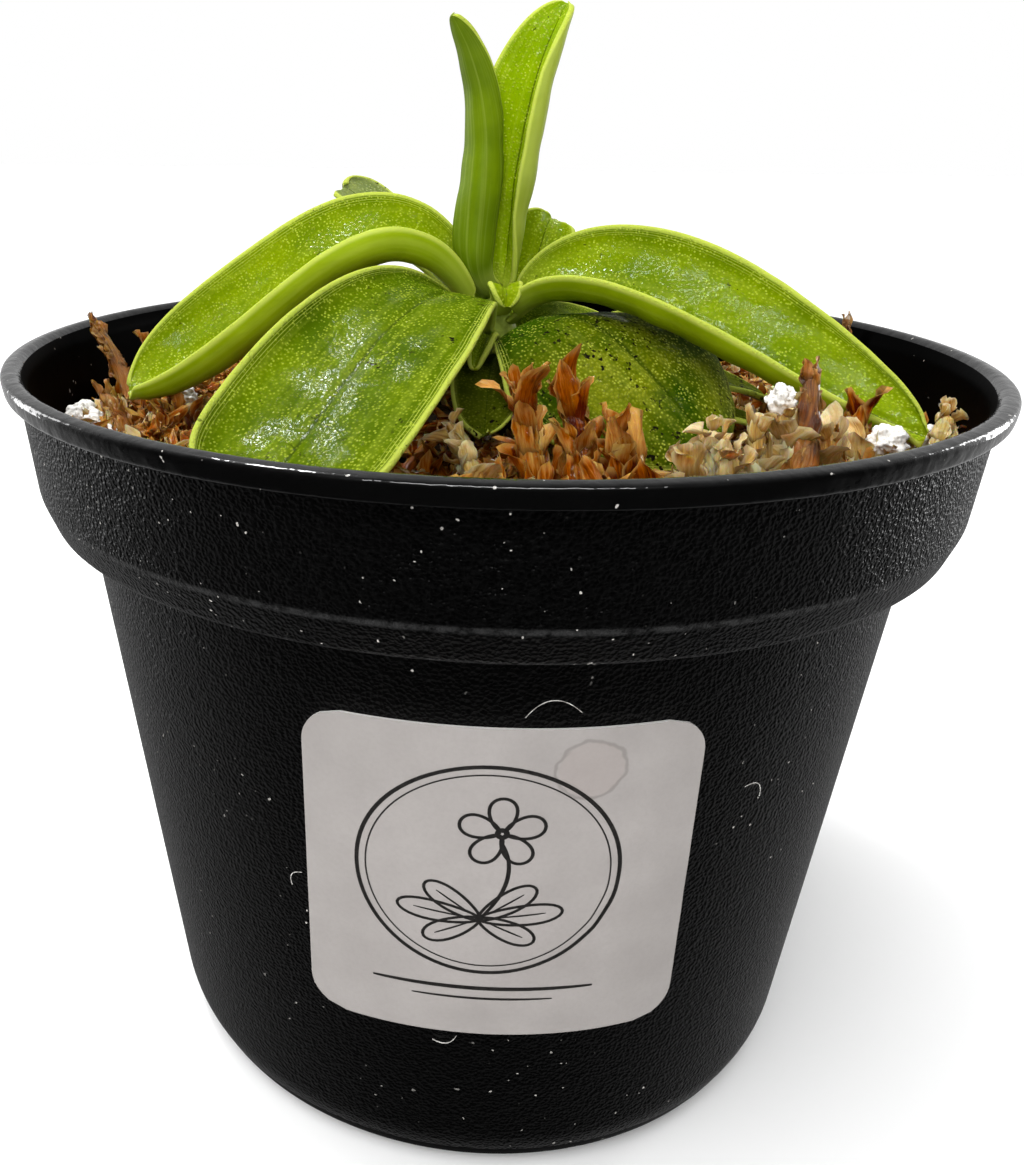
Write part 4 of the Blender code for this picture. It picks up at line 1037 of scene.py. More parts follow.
def build_blade(blade, upper, under, number):
    """A closed body round the blade's surface, with a thin lamina, a ribbed middle and beaded margins."""
    share = np.linspace(0, 1, blade.rows)
    along = 1 - (1 - share) ** TIP_CROWDING
    even = np.linspace(-1, 1, blade.columns)
    across = 0.5 * even + 0.5 * np.sin(even * math.pi / 2)
    middle = blade.surface(along, across)
    half = blade.half_width(along)
    normal = unit(np.cross(np.gradient(middle, axis=0), np.gradient(middle, axis=1)))
    aside = np.abs(across)[None, :]
    # Slow waves along the margin and small puckers all over
    phase = number * 1.7
    wave = blade.waves * aside ** 3 * np.sin(along[:, None] * 9.0 + phase + 1.5 * across[None, :])
    pucker = np.array([[noise.noise(Vector(p) / PUCKER_SIZE + Vector((number, 0, 0))) for p in row]
                       for row in middle])
    fade = np.minimum(1.0, along[:, None] * 6.0)
    middle = middle + normal * ((wave + PUCKER * pucker) * fade)[..., None]
    distance = aside * half[:, None]
    rib = np.exp(-(distance / RIB_SPREAD) ** 2)
    thick = LAMINA + (RIB * (1 - 0.75 * along[:, None])) * rib
    bead = np.exp(-((half[:, None] - distance) / BEAD_SPREAD) ** 2)
    thick = thick + (BEAD - LAMINA) * bead
    thick = np.minimum(thick, 0.25 * blade.width)
    groove = GROOVE * np.exp(-(distance / GROOVE_SPREAD) ** 2) * (1 - 0.5 * along[:, None]) * fade
    top = middle + normal * (thick - 2 * groove)[..., None]
    low = middle - normal * thick[..., None]
    leftward = unit(middle[:, -1] - middle[:, -2])
    rightward = unit(middle[:, 0] - middle[:, 1])
    left_edge = rounded_edge(middle[:, -1], thick[:, -1:], normal[:, -1], leftward)
    right_edge = rounded_edge(middle[:, 0], thick[:, :1], -normal[:, 0], rightward)
    ring = np.concatenate([top, left_edge, low[:, ::-1], right_edge], 1)
    # The first row runs on into the crown
    inward = unit(middle[0, blade.columns // 2] - middle[1, blade.columns // 2])
    ring = np.concatenate([ring[:1] + inward * ROOT_REACH, ring], 0)
    v = np.concatenate([[0.0], along])
    u = np.concatenate([across, [1.0] * 3, across[::-1], [-1.0] * 3]) / 2 + 0.5
    # The upper face and both rounded margins have the upper finish, the lower face has the other
    kinds_row = [0] * (blade.columns + 3) + [1] * (blade.columns - 1) + [0] * 4
    size = ring.shape[1]
    faces = []
    kinds = []
    for i in range(len(v) - 1):
        for j in range(size):
            k = (j + 1) % size
            faces.append((i * size + j, (i + 1) * size + j, (i + 1) * size + k, i * size + k))
            kinds.append(kinds_row[j])
    last = (len(v) - 1) * size
    faces.append(tuple(range(size)))
    faces.append(tuple(last + j for j in reversed(range(size))))
    kinds += [1, 1]
    flat = np.stack([np.tile(u, (len(v), 1)), np.tile(v[:, None], (1, size))], -1).reshape(-1, 2)
    name = blade.name.replace("leaf_", "blade_")
    piece = mesh_object(name, ring.reshape(-1, 3), faces, [upper, under], kinds, {"flat": flat})
    settle(piece, "leaf", blade.name)


# Deep, bright and edge colour of each look's upper side and underside, and how worn its leaves are, which
# also sets the painted shade towards the crown
LOOKS = {
    "outer": (("#5C7402", "#748804", "#9AA83A"), ("#4F6602", "#688004", "#98A648"), 0.1),
    "inner": (("#7A9702", "#95AE05", "#B0BE40"), ("#82922A", "#97A541", "#A8B45C"), 0.1),
    "prime": (("#5A7202", "#7E9204", "#A8B838"), ("#7A9102", "#93AA0C", "#B0BE48"), 0.2),
    "broad": (("#3E5402", "#5E7204", "#9CAC34"), ("#5C7004", "#74860C", "#98A640"), 0.5),
    "spotted": (("#223C00", "#6A720A", "#A2AC3C"), ("#5A6C08", "#6E7E14", "#94A03C"), 1.0),
    "dull": (("#333E04", "#4C5608", "#6A7220"), ("#3A4608", "#525E10", "#6C7628"), 1.0),
    "pale": (("#5E6C38", "#808A4C", "#98A26C"), ("#6A7644", "#848E58", "#9CA672"), 0.6),
}


def build_leaves():
    finishes = {}
    for look, (above, below, worn) in LOOKS.items():
        upper = leaf_upper(f"leaf_{look}_upper", *above, worn)
        finishes[look] = (upper, leaf_under(f"leaf_{look}_under", *below))
    for number, blade in enumerate(BLADES):
        build_blade(blade, *finishes[blade.look], number)


# The crown

CROWN_RADIUS = 2.6
CROWN_ROOT_RADIUS = 0.9
CROWN_TOP = 90.2
CROWN_BOTTOM = 58.0
CROWN_ROWS = 60
CROWN_SIDES = 32
SCAR_DEPTH = 0.16


def build_crown():
    """The root stock: a lumpy stem with the stubs of old leaf bases."""
    points = []
    for i in range(CROWN_ROWS + 1):
        share = i / CROWN_ROWS
        height = CROWN_BOTTOM + (CROWN_TOP - CROWN_BOTTOM) * share
        body = CROWN_ROOT_RADIUS + (CROWN_RADIUS - CROWN_ROOT_RADIUS) * min(1.0, share * 1.4)
        body *= math.sqrt(max(0.0, 1 - max(0.0, (share - 0.88) / 0.12) ** 2))
        for j in range(CROWN_SIDES):
            turn = 2 * math.pi * j / CROWN_SIDES
            scar = SCAR_DEPTH * math.sin(3 * turn + share * 40)
            radius = max(body + scar * min(1.0, body), 0.02)
            points.append((radius * math.cos(turn), radius * math.sin(turn), height))
    faces = [tuple(reversed(range(CROWN_SIDES)))]
    for i in range(CROWN_ROWS):
        a = i * CROWN_SIDES
        for j in range(CROWN_SIDES):
            k = (j + 1) % CROWN_SIDES
            faces.append((a + j, a + k, a + CROWN_SIDES + k, a + CROWN_SIDES + j))
    faces.append(tuple(CROWN_ROWS * CROWN_SIDES + j for j in range(CROWN_SIDES)))
    crown = mesh_object("crown_stem", points, faces, [root_stock()])
    settle(crown, "root_stock", "crown")


# The moss: the CAD part's lumps and strands, dressed in scale leaves

MOSS_LEVEL = 74.2            # height of the bed between the lumps
MOSS_MOUND = 5.2             # rise under the crown
MOSS_MOUND_RADIUS = 11.0
MOSS_LUMP = 1.5              # height of the lumps, and their two sizes
LUMP_SIZE = 6.5
SMALL_LUMP_SIZE = 2.8
BED_SINK = 2.0               # the peat lies this far below the tops of the strands
BED_SKIRT = 1.0
BED_RINGS = 90
BED_SIDES = 260
INNER_RADIUS = 52.6

# Height and the radius that is free inside the pot there
WALL_INSIDE = [(30.0, 42.0), (66.0, 47.2), (67.0, 50.8), (70.5, 52.3), (84.0, 52.6)]

# Strands that stand up: foot in plan, tip, thickness and kind of moss
STRANDS = [
    ((-45.5, 3.0), (-52.0, 6.5, 84.2), 1.5, "brown"),
    ((-41.5, 9.0), (-46.5, 12.0, 81.0), 1.4, "brown"),
    ((46.5, 21.0), (49.0, 23.0, 84.0), 1.5, "brown"),
    ((27.0, -34.0), (30.4, -27.0, 87.2), 1.9, "brown"),
    ((4.5, -31.0), (2.6, -28.5, 85.0), 2.0, "rust"),
    ((9.0, -31.0), (7.2, -26.5, 84.6), 2.2, "rust"),
    ((13.5, -33.0), (12.0, -30.5, 81.6), 2.2, "rust"),
    ((-1.0, -33.0), (-4.2, -26.0, 80.0), 1.8, "straw"),
    ((21.5, -33.0), (20.5, -32.0, 82.4), 2.2, "straw"),
    ((24.5, -33.5), (24.8, -32.0, 82.4), 2.2, "straw"),
    ((22.0, -34.5), (21.8, -34.0, 80.9), 2.4, "straw"),
    ((18.6, -35.5), (18.2, -34.6, 80.0), 2.0, "straw"),
    ((27.8, -31.0), (28.0, -28.0, 83.6), 2.4, "straw"),
    ((31.5, -29.5), (32.4, -27.5, 81.6), 2.4, "flakes"),
    ((35.5, -26.5), (36.0, -25.5, 79.4), 2.2, "flakes"),
    ((38.6, -25.4), (38.8, -25.2, 79.2), 2.4, "straw"),
    ((-36.5, -8.5), (-37.5, -7.5, 77.6), 2.0, "rust"),
    ((-42.0, -14.0), (-44.5, -12.0, 79.4), 2.0, "brown"),
    ((36.0, -22.0), (37.5, -20.5, 80.8), 2.0, "rust"),
    ((46.0, -18.0), (48.0, -15.5, 80.6), 1.8, "straw"),
    ((-20.0, 39.0), (-22.0, 42.5, 81.0), 1.6, "brown"),
    ((22.0, 38.0), (25.5, 42.0, 80.4), 1.7, "rust"),
    ((3.0, 46.0), (1.0, 48.5, 81.5), 1.5, "straw"),
    ((-42.5, 25.0), (-45.0, 27.0, 80.0), 1.7, "brown"),
]

# Clumps of strands: place in plan, radius, rise above the bed and kind of moss
CLUMPS = [
    (3.0, -37.0, 4.6, 2.6, "rust"), (10.5, -37.0, 5.0, 3.0, "rust"), (17.5, -37.5, 4.4, 2.6, "rust"),
    (-4.0, -38.5, 4.2, 1.6, "rust"), (24.0, -34.0, 4.6, 3.2, "straw"), (31.0, -30.5, 4.4, 2.8, "straw"),
    (37.0, -25.0, 4.2, 2.4, "rust"), (42.5, -18.0, 4.4, 2.2, "flakes"), (47.5, -9.0, 3.6, 2.4, "flakes"),
    (-44.5, -5.0, 4.4, 1.4, "straw"), (-38.0, -10.0, 4.2, 1.8, "rust"), (-36.0, -26.0, 4.0, 1.2, "rust"),
    (-45.0, 14.0, 4.0, 1.4, "rust"), (-33.0, 31.0, 4.4, 1.6, "straw"), (-11.0, 45.0, 4.2, 1.6, "rust"),
    (13.0, 44.0, 4.4, 1.8, "straw"), (33.0, 32.0, 4.4, 1.6, "rust"), (46.0, 12.0, 4.2, 1.2, "rust"),
    (0.0, -24.0, 4.4, 1.2, "rust"), (30.0, 14.0, 4.6, 1.2, "straw"), (-28.0, 6.0, 4.8, 1.2, "rust"),
]

# Places of the finishes in the moss pieces' materials
RUST, STRAW, BROWN, PEAT = range(4)


class MossForm:
    """How one kind of moss is dressed.

    slot      place of its finish in the moss pieces' materials
    length    of its scale leaves
    width     of its scale leaves
    opening   how far the leaves stand off the stem, in degrees
    flare     how far their tips bend away from it, as a share of the length
    point     1 for long, pointed tips and 0.4 for round ones
    spacing   from leaf to leaf along the stem
    core      radius of the bare stem as a share of the strand's
    """

    def __init__(self, slot, length, width, opening, flare, point, spacing, core):
        self.slot = slot
        self.length = length
        self.width = width
        self.opening = opening
        self.flare = flare
        self.point = point
        self.spacing = spacing
        self.core = core


MOSS_KINDS = {
    "rust": MossForm(RUST, 4.4, 2.3, 18, 0.0, 0.75, 0.42, 0.85),
    "straw": MossForm(STRAW, 2.7, 2.3, 30, 0.0, 0.45, 0.42, 0.8),
    "brown": MossForm(BROWN, 2.6, 1.8, 3, -0.03, 0.6, 0.4, 1.0),
    "flakes": MossForm(STRAW, 3.8, 3.6, 40, 0.0, 0.45, 0.9, 0.6),
}
LYING_KINDS = (
    MossForm(RUST, 3.0, 1.7, 24, 0.2, 0.9, 0.9, 0.5),
    MossForm(STRAW, 2.4, 1.8, 32, 0.1, 0.5, 0.95, 0.45),
    MossForm(BROWN, 2.4, 1.3, 14, 0.1, 0.8, 0.9, 0.55),
)
LYING_SHARES = (0.5, 0.24, 0.26)


def moss_height(x, y):
    """Height of the bed: a mound under the crown and soft lumps."""
    mound = MOSS_MOUND * math.exp(-(x * x + y * y) / MOSS_MOUND_RADIUS ** 2)
    broad = noise.noise(Vector((x / LUMP_SIZE, y / LUMP_SIZE, 0.3)))
    fine = noise.noise(Vector((x / SMALL_LUMP_SIZE, y / SMALL_LUMP_SIZE, 4.1)))
    return MOSS_LEVEL + mound + MOSS_LUMP * (broad + 0.5 * fine)


class Heap:
    """Many small surfaces gathered into one mesh, with two UV maps.

    flat holds the distance from a scale's middle line and the share of its length from foot to tip,
    and grain holds places on it in millimetres, across and along.
    """

    def __init__(self):
        self.points = []
        self.faces = []
        self.kinds = []
        self.flat = []
        self.grain = []
        self.count = 0

    def add(self, points, faces, kind, flat, grain):
        points = points.reshape(-1, 3).copy()
        # What would reach through the pot is pressed against its wall
        room = np.interp(points[:, 2], *zip(*WALL_INSIDE))
        over = np.hypot(points[:, 0], points[:, 1]) / room
        points[:, :2] /= np.maximum(1.0, over)[:, None]
        self.points.append(points)
        self.faces.append(faces.reshape(-1, 4) + self.count)
        self.kinds.append(np.full(faces.reshape(-1, 4).shape[0], kind))
        self.flat.append(flat.reshape(-1, 2))
        self.grain.append(grain.reshape(-1, 2))
        self.count += self.points[-1].shape[0]

    def build(self, name, materials):
        layers = {"flat": np.concatenate(self.flat), "grain": np.concatenate(self.grain)}
        points = np.concatenate(self.points)
        faces = np.concatenate(self.faces).tolist()
        return mesh_object(name, points, faces, materials, np.concatenate(self.kinds), layers)


def add_scales(heap, form, chance, base, along, outward, length, width, fine=False):
    """Small papery leaves: each springs from its base along a direction and bends outward.

    The arrays hold one row for each leaf. form is the kind of moss and chance the random generator.
    """
    count = len(base)
    rows, columns = (8, 5) if fine else (5, 4)
    v = np.linspace(0, 1, rows)
    u = np.linspace(-1, 1, columns)
    outline = (0.04 + 0.96 * v) ** 0.4 * (1.0 - 0.985 * v) ** form.point
    outline = outline / outline.max()
    along = unit(along)
    side = unit(np.cross(along, outward))
    outward = unit(np.cross(side, along))
    ragged = 1 + 0.18 * form.point * chance.standard_normal((count, rows))
    ragged[:, 0] = 1
    half = (width / 2)[:, None] * outline * ragged
    twist = (0.8 * chance.standard_normal(count))[:, None] * v
    curl = form.flare + 0.012 * (form.opening + 4) * chance.standard_normal(count)
    cup = 0.6 + 0.3 * chance.standard_normal(count)
    place = base[:, None] + along[:, None] * (length[:, None] * v)[..., None]
    place = place + outward[:, None] * ((curl * length)[:, None] * v ** 2.2)[..., None]
    across = side[:, None] * np.cos(twist)[..., None] + outward[:, None] * np.sin(twist)[..., None]
    points = place[:, :, None] + across[:, :, None] * (half[..., None] * u)[..., None]
    # Cupped along the middle, creased lengthwise and wavy at the edges
    phase = chance.uniform(0, 2 * math.pi, (2, count, 1, 1))
    creases = 0.1 * np.sin(phase[0] + 4.5 * u + 3.0 * v[:, None]) * v[:, None]
    waves = 0.28 * form.point * u ** 2 * np.sin(phase[1] + 8.0 * v[:, None] + 1.5 * u)
    lift = -cup[:, None, None] * half[..., None] * u ** 2 + width[:, None, None] * (creases + waves)
    points = points + outward[:, None, None] * lift[..., None]
    points = points + 0.012 * chance.standard_normal(points.shape) * width[:, None, None, None]
    index = np.arange(rows * columns).reshape(rows, columns)
    cell = np.stack([index[:-1, :-1], index[:-1, 1:], index[1:, 1:], index[1:, :-1]], -1).reshape(-1, 4)
    faces = cell[None] + (np.arange(count) * rows * columns)[:, None, None]
    flat = np.stack([np.broadcast_to(np.abs(u), (count, rows, columns)),
                     np.broadcast_to(v[None, :, None], (count, rows, columns))], -1)
    start = chance.uniform(0, 60, (count, 1, 1))
    down = np.broadcast_to(start + length[:, None, None] * v[:, None], (count, rows, columns))
    grain = np.stack([start + half[..., None] * u, down], -1)
    heap.add(points, faces, form.slot, flat, grain)


def add_stem(heap, form, chance, path, radius, sides=9):
    """A round, knuckled stem along a path, closed to a point at its tip."""
    path = np.asarray(path)
    tangent = unit(np.gradient(path, axis=0))
    helper = np.where(np.abs(tangent[:, 2:3]) > 0.9, np.array([[1.0, 0, 0]]), UP[None])
    side = unit(np.cross(tangent, helper))
    other = np.cross(side, tangent)
    turns = np.arange(sides) * 2 * math.pi / sides
    knuckles = 1 + 0.12 * chance.standard_normal((len(path), sides))
    radius = np.asarray(radius)[:, None] * knuckles
    radius[-1] = 0.02
    round_about = side[:, None] * np.cos(turns)[:, None] + other[:, None] * np.sin(turns)[:, None]
    points = path[:, None] + round_about * radius[..., None]
    index = np.arange(len(path) * sides).reshape(len(path), sides)
    ahead = np.roll(index, -1, axis=1)
    faces = np.stack([index[:-1], ahead[:-1], ahead[1:], index[1:]], -1)
    run = np.concatenate([[0], np.cumsum(np.linalg.norm(np.diff(path, axis=0), axis=1))])
    flat = np.full((len(path), sides, 2), 0.45)
    grain = np.stack([np.broadcast_to(turns * radius[0, 0], (len(path), sides)),
                      np.broadcast_to(run[:, None], (len(path), sides))], -1) + chance.uniform(0, 60)
    heap.add(points, faces, form.slot, flat, grain)


SPIRAL_STEP = 2.4            # radians from one scale to the next round the stem


def add_strand(heap, form, chance, path, thick, size=1.0, fine=False):
    """A moss stem clothed in overlapping scale leaves that wind round it."""
    path = np.asarray(path)
    run = np.concatenate([[0], np.cumsum(np.linalg.norm(np.diff(path, axis=0), axis=1))])
    count = max(3, int(run[-1] / (form.spacing * size)))
    at = np.linspace(0, run[-1], count) + 0.3 * form.spacing * chance.standard_normal(count)
    at = np.clip(at, 0, run[-1])
    place = np.stack([np.interp(at, run, path[:, i]) for i in range(3)], -1)
    tangents = unit(np.gradient(path, axis=0))
    tangent = unit(np.stack([np.interp(at, run, tangents[:, i]) for i in range(3)], -1))
    helper = np.where(np.abs(tangent[:, 2:3]) > 0.9, np.array([[1.0, 0, 0]]), UP[None])
    side = unit(np.cross(tangent, helper))
    other = np.cross(side, tangent)
    turn = np.arange(count) * SPIRAL_STEP + chance.uniform(0, 2 * math.pi)
    outward = side * np.cos(turn)[:, None] + other * np.sin(turn)[:, None]
    taper = 1.0 - 0.5 * at / run[-1]
    lean = np.radians(form.opening) * (1 + 0.4 * chance.standard_normal(count))
    lean = np.clip(lean, 0.05, 1.3)[:, None]
    direction = tangent * np.cos(lean) + outward * np.sin(lean)
    base = place + outward * (0.75 * form.core * thick * taper)[:, None]
    sizes = np.clip(taper ** 0.5 * (1 + 0.25 * chance.standard_normal(count)), 0.5, 1.5) * size
    add_scales(heap, form, chance, base, direction, outward, form.length * sizes, form.width * sizes, fine)
    add_stem(heap, form, chance, path, form.core * thick * (1 - 0.6 * run / run[-1]))


def bowed_path(start, end, bow, count=8):
    """Points from start to end that swing out by bow halfway."""
    share = np.linspace(0, 1, count)[:, None]
    start = np.asarray(start)
    end = np.asarray(end)
    return start + (end - start) * share + np.asarray(bow) * np.sin(math.pi * share)


def build_bed(materials):
    """The peat, a little below the CAD part's surface, so that the strands lie in its place."""
    radii = np.linspace(0, 1, BED_RINGS) ** 0.8 * INNER_RADIUS
    turns = np.arange(BED_SIDES) * 2 * math.pi / BED_SIDES
    points = np.zeros((BED_RINGS, BED_SIDES, 3))
    for i, radius in enumerate(radii):
        for j, turn in enumerate(turns):
            x = radius * math.cos(turn)
            y = radius * math.sin(turn)
            coarse = noise.noise(Vector((x / 1.6, y / 1.6, 9.0)))
            fine = noise.noise(Vector((x / 0.7, y / 0.7, 2.0)))
            points[i, j] = (x, y, moss_height(x, y) - BED_SINK + 0.8 * (coarse + 0.5 * fine))
    skirt = points[-1] - UP * BED_SKIRT
    points = np.concatenate([points, skirt[None]])
    index = np.arange((BED_RINGS + 1) * BED_SIDES).reshape(BED_RINGS + 1, BED_SIDES)
    ahead = np.roll(index, -1, axis=1)
    faces = np.stack([index[:-1], index[1:], ahead[1:], ahead[:-1]], -1)
    bed = Heap()
    bed.add(points, faces, PEAT, np.full((BED_RINGS + 1, BED_SIDES, 2), 0.3), points[..., :2])
    settle(bed.build("moss_ground", materials), "dried_moss", "moss_bed")


# Pieces of lying strands: name, and for each layer its number, the count of its strands and the
# share of the bed's radius that they keep outside
LYING_PIECES = (
    ("moss_lying_strands", ((0, 190, 0.0), (1, 150, 0.0))),
    ("moss_wall_strands", ((0, 110, 0.82), (1, 120, 0.8))),
)
LAYER_RISE = 0.9
SHORTEST = 9
LONGEST = 22
STRANDS_A_CLUMP = 7


def lying_ends(chance, layer, nearest):
    """Both ends of a strand on the bed; those of the ring by the wall run along it."""
    radius = math.sqrt(chance.uniform(nearest ** 2, 1)) * (INNER_RADIUS - 2.0)
    turn = chance.uniform(0, 2 * math.pi)
    heading = chance.uniform(0, 2 * math.pi)
    if nearest > 0:
        heading = turn + math.pi / 2 + chance.normal(0, 0.6)
    reach = chance.uniform(SHORTEST, LONGEST)
    ends = []
    for sign in (-0.5, 0.5):
        x = radius * math.cos(turn) + sign * reach * math.cos(heading)
        y = radius * math.sin(turn) + sign * reach * math.sin(heading)
        over = max(1.0, math.hypot(x, y) / (INNER_RADIUS - 1.4))
        x /= over
        y /= over
        level = moss_height(x, y) - 1.0 + LAYER_RISE * layer
        ends.append((x, y, level + chance.uniform(-0.6, 0.5)))
    return ends


def build_lying_strands(materials, chance):
    """Strands that lie about in every direction, in two overlapping layers, and a ring by the wall."""
    for name, layers in LYING_PIECES:
        lying = Heap()
        for layer, count, nearest in layers:
            for _ in range(count):
                ends = lying_ends(chance, layer, nearest)
                bow = (chance.normal(0, 1.6), chance.normal(0, 1.6), chance.uniform(0.2, 1.3))
                form = LYING_KINDS[chance.choice(len(LYING_KINDS), p=LYING_SHARES)]
                add_strand(lying, form, chance, bowed_path(*ends, bow), chance.uniform(1.0, 1.7),
                           chance.uniform(0.85, 1.3))
        settle(lying.build(name, materials), "dried_moss")


def build_standing_strands(materials, chance):
    """The strands that the photograph shows one by one, and the clumps."""
    standing = Heap()
    for foot, tip, thick, kind in STRANDS:
        start = (foot[0], foot[1], moss_height(*foot) - 1.5)
        lean = np.cross(np.subtract(tip, start), UP) * 0.12
        add_strand(standing, MOSS_KINDS[kind], chance, bowed_path(start, tip, lean, 14), thick, 1.0, True)
    for x, y, radius, rise, kind in CLUMPS:
        top = moss_height(x, y) + rise
        for _ in range(STRANDS_A_CLUMP):
            turn = chance.uniform(0, 2 * math.pi)
            away = radius * math.sqrt(chance.uniform(0, 1)) * 0.8
            foot = np.array([x + away * math.cos(turn), y + away * math.sin(turn), 0.0])
            foot[2] = moss_height(foot[0], foot[1]) - 1.6
            tip = np.array([x + 1.5 * away * math.cos(turn), y + 1.5 * away * math.sin(turn),
                            top + chance.uniform(-2.4, -0.4) - 0.12 * away ** 1.5])
            bow = chance.normal(0, 1.4, 3)
            add_strand(standing, MOSS_KINDS[kind], chance, bowed_path(foot, tip, bow), 1.7,
                       chance.uniform(0.8, 1.15), True)
    settle(standing.build("moss_standing_strands", materials), "dried_moss")


def build_moss():
    chance = np.random.default_rng(SEED)
    materials = [
        sphagnum("sphagnum_rust", "#480E00", "#A05200", "#E6B460"),
        sphagnum("sphagnum_straw", "#784C10", "#C8A25C", "#F4E4B8"),
        sphagnum("sphagnum_brown", "#4A2206", "#94591E", "#CFA066"),
        damp_peat(),
    ]
    build_bed(materials)
    build_lying_strands(materials, chance)
    build_standing_strands(materials, chance)


# Perlite

# Grains of the CAD part: place in plan, size and rise above the bed
GRAINS = [
    (-49.5, -6.5, 1.9, 0.9), (-46.5, -10.0, 1.5, 0.8), (33.5, -12.5, 1.8, 2.0),
    (46.5, -13.0, 2.2, 2.6), (49.0, -3.0, 1.6, 1.6), (-39.0, 2.5, 1.4, 1.0),
    (-24.0, 36.0, 1.7, 0.9), (26.0, 33.0, 1.8, 0.9), (1.0, 42.0, 1.6, 0.9),
]
CRUMB_COUNT = 40

# Chips that lie on the moss: place, size, height as a share of the width, and roughness
CHUNKS = [
    (27.8, -27.6, 84.4, 1.4, 1.0, 1.3), (38.8, -25.4, 79.9, 1.8, 0.85, 1.3),
    (-44.0, -16.0, 75.7, 2.0, 0.55, 0.35),
]


def grain_points(middle, size, seed, detail, flat=1.0, rough=1.0):
    """A puffed, angular grain with burst bubbles in its skin; flat squeezes it from above."""
    bm = bmesh.new()
    bmesh.ops.create_icosphere(bm, subdivisions=detail, radius=1.0)
    points = []
    for vert in bm.verts:
        way = vert.co.normalized()
        dent = noise.noise(way * 1.7 + Vector((seed, 0.0, seed)))
        facet = noise.noise(way * 3.6 + Vector((seed, seed, 1.0)))
        bubble = noise.noise(way * 9.0 + Vector((seed, 3.0, seed)))
        swell = 1.0 + rough * (0.3 * dent + 0.16 * facet - 0.08 * abs(bubble))
        points.append(middle + np.array(way) * (1.0, 1.0, flat) * size * swell)
    faces = [tuple(v.index for v in face.verts) for face in bm.faces]
    bm.free()
    return points, faces


def build_perlite():
    """The nine grains of the CAD part, and chips and crumbs strewn about."""
    white = expanded_perlite()
    for number, (x, y, size, rise) in enumerate(GRAINS, start=1):
        middle = np.array([x, y, moss_height(x, y) + rise])
        points, faces = grain_points(middle, size, SEED + number * 5.3, 5)
        grain = mesh_object(f"grain_{number}", points, faces, [white])
        settle(grain, "perlite", f"perlite_{number}")
    chance = np.random.default_rng(SEED + 1)
    lumps = [grain_points(np.array([x, y, z]), size, size * 7.0, 5, flat, rough)
             for x, y, z, size, flat, rough in CHUNKS]
    for number in range(CRUMB_COUNT):
        radius = math.sqrt(chance.uniform(0.02, 1)) * (INNER_RADIUS - 2.0)
        turn = chance.uniform(0, 2 * math.pi)
        x = radius * math.cos(turn)
        y = radius * math.sin(turn)
        size = chance.uniform(0.25, 0.9)
        middle = np.array([x, y, moss_height(x, y) + chance.uniform(0.2, 1.0)])
        lumps.append(grain_points(middle, size, number * 2.1, 3))
    points = []
    faces = []
    for more, sides in lumps:
        start = len(points)
        points += more
        faces += [tuple(start + i for i in side) for side in sides]
    crumbs = mesh_object("perlite_crumbs", points, faces, [white])
    settle(crumbs, "perlite")


# Stage and light

FLOOR_HALF = 3.0             # metres, as all lengths on the stage

# Brightness of the dim room that the glossy pot mirrors
ROOM_BEHIND = 0.5
ROOM_ABOVE = 0.12
ROOM_IN_FRONT = 0.005

DIFFUSER_STRENGTH = 3.0
DIFFUSER_WIDTH = math.radians(60)
DIFFUSER_PLACE = (-0.25, -0.25, 0.93)

# Lamps: place, aim, size and watts
FILL = ((0.05, -0.9, 0.45), (0, 0, 0.06), (0.7, 0.7), 6.0)
WINDOW = ((-0.25, 0.17, 0.62), (0, 0, 0.08), (0.11, 0.08), 1.5)
FRONT_TUBE = ((0.02, -0.4, 0.6), (0, 0, 0.08), (0.5, 0.07), 2.4)
LEFT_STRIP = ((-0.5, 0.25, 0.15), (0, 0, 0.06), (0.12, 0.4), 0.7)
RIGHT_STRIP = ((0.5, 0.3, 0.15), (0, 0, 0.06), (0.12, 0.4), 1.2)


def build_stage():
    """A plain white floor."""
    mesh = bpy.data.meshes.new("floor")
    corners = [(x * FLOOR_HALF, y * FLOOR_HALF, 0) for x, y in ((-1, -1), (1, -1), (1, 1), (-1, 1))]
    mesh.from_pydata(corners, [], [(0, 1, 2, 3)])
    mesh.materials.append(paper_sweep())
    floor = bpy.data.objects.new("floor", mesh)
    # The glossy pot mirrors the dim room in place of the paper
    floor.visible_glossy = False
    bpy.context.scene.collection.objects.link(floor)


def softbox(name, place, aim, size, watts):
    """A rectangular lamp that faces its aim."""
    light = bpy.data.lights.new(name, "AREA")
    light.shape = "RECTANGLE"
    light.size, light.size_y = size
    light.energy = watts
    lamp = bpy.data.objects.new(name, light)
    lamp.location = place
    lamp.rotation_euler = (Vector(aim) - Vector(place)).to_track_quat("-Z", "Y").to_euler()
    bpy.context.scene.collection.objects.link(lamp)
    return lamp


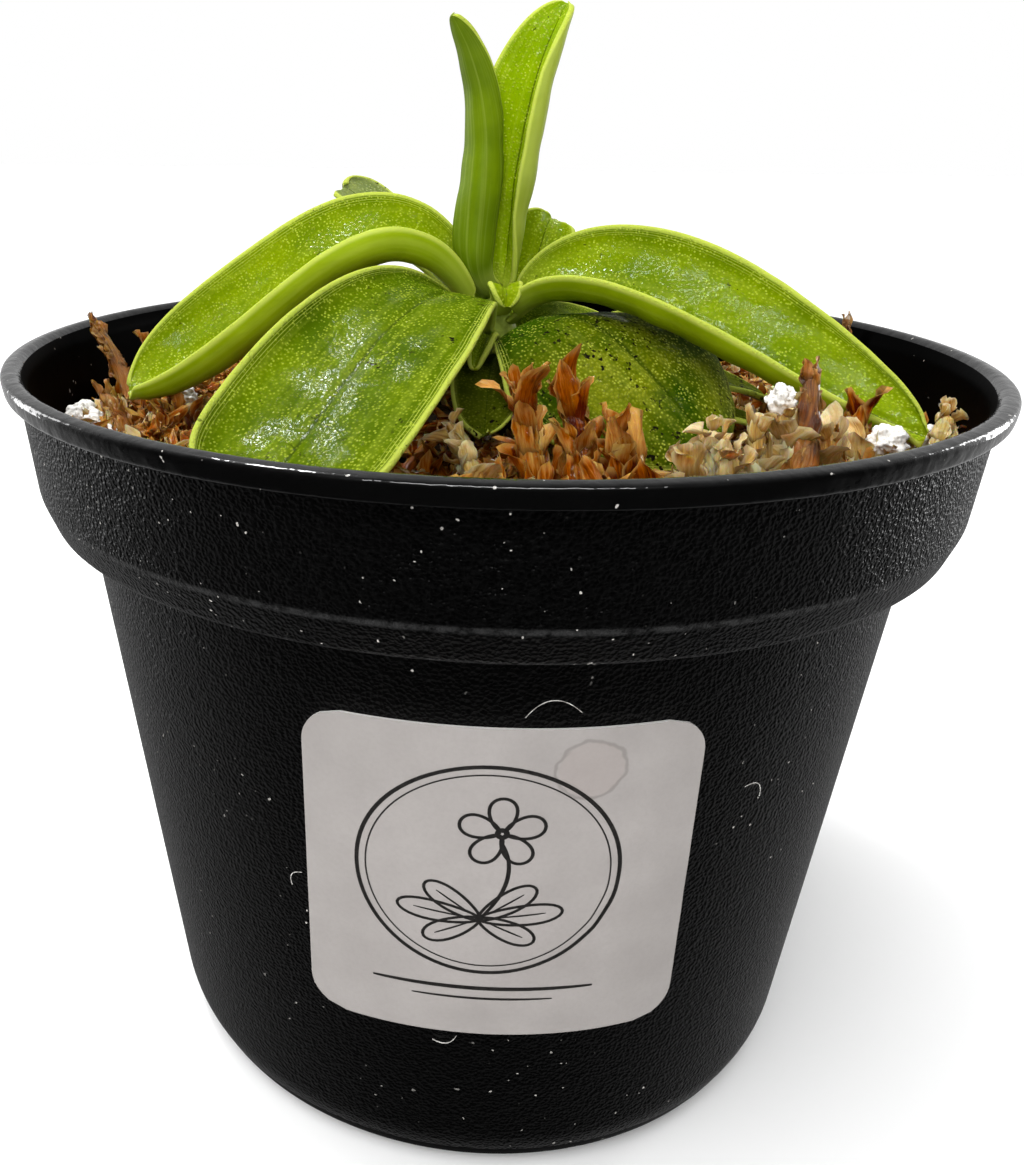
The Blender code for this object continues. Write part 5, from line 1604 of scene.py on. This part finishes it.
def light_room():
    """A dim studio, brighter behind and above the plant than in front, before a white backdrop."""
    world = bpy.data.worlds.new("studio")
    world.use_nodes = True
    tree = world.node_tree
    room = tree.nodes["Background"]
    way = add_node(tree, "TexCoord", output="Generated")
    depth = add_node(tree, "SeparateXYZ", None, [way], "Y")
    rise = add_node(tree, "SeparateXYZ", None, [way], "Z")
    behind = add_node(tree, "MapRange", SMOOTH, [depth, -0.35, 0.95, 0.0, ROOM_BEHIND])
    above = add_node(tree, "MapRange", SMOOTH, [rise, 0.15, 0.95, 0.0, ROOM_ABOVE])
    glow = add_node(tree, "Math", ADD, [behind, above])
    level = add_node(tree, "Math", ADD, [glow, ROOM_IN_FRONT])
    tree.links.new(level, room.inputs["Strength"])
    room.inputs["Color"].default_value = linear("#FFFFFF")
    backdrop = add_node(tree, "Background", None, {"Color": "#FFFFFF", "Strength": 1.0})
    seen = add_node(tree, "LightPath", output="Is Camera Ray")
    both = add_node(tree, "MixShader", None, [seen, room.outputs[0], backdrop])
    tree.links.new(both, tree.nodes["World Output"].inputs["Surface"])
    bpy.context.scene.world = world
    bpy.context.scene.view_settings.view_transform = "Standard"


def light_scene():
    """A broad diffuser and a fill that light the plant, and smaller lamps that show in its gloss."""
    light_room()
    sun = bpy.data.lights.new("diffuser", "SUN")
    sun.energy = DIFFUSER_STRENGTH
    sun.angle = DIFFUSER_WIDTH
    diffuser = bpy.data.objects.new("diffuser", sun)
    diffuser.rotation_euler = Vector(DIFFUSER_PLACE).to_track_quat("Z", "Y").to_euler()
    bpy.context.scene.collection.objects.link(diffuser)
    fill = softbox("fill", *FILL)
    diffuser.visible_glossy = False
    fill.visible_glossy = False
    softbox("window", *WINDOW)
    # A long tube that gives the lip and the drops their glints and lights nothing else
    tube = softbox("front_tube", *FRONT_TUBE)
    tube.visible_diffuse = False
    softbox("left_strip", *LEFT_STRIP)
    softbox("right_strip", *RIGHT_STRIP)


place_camera()
build_pot()
build_label()
build_print()
build_lint()
build_leaves()
build_crown()
build_moss()
build_perlite()
build_stage()
light_scene()
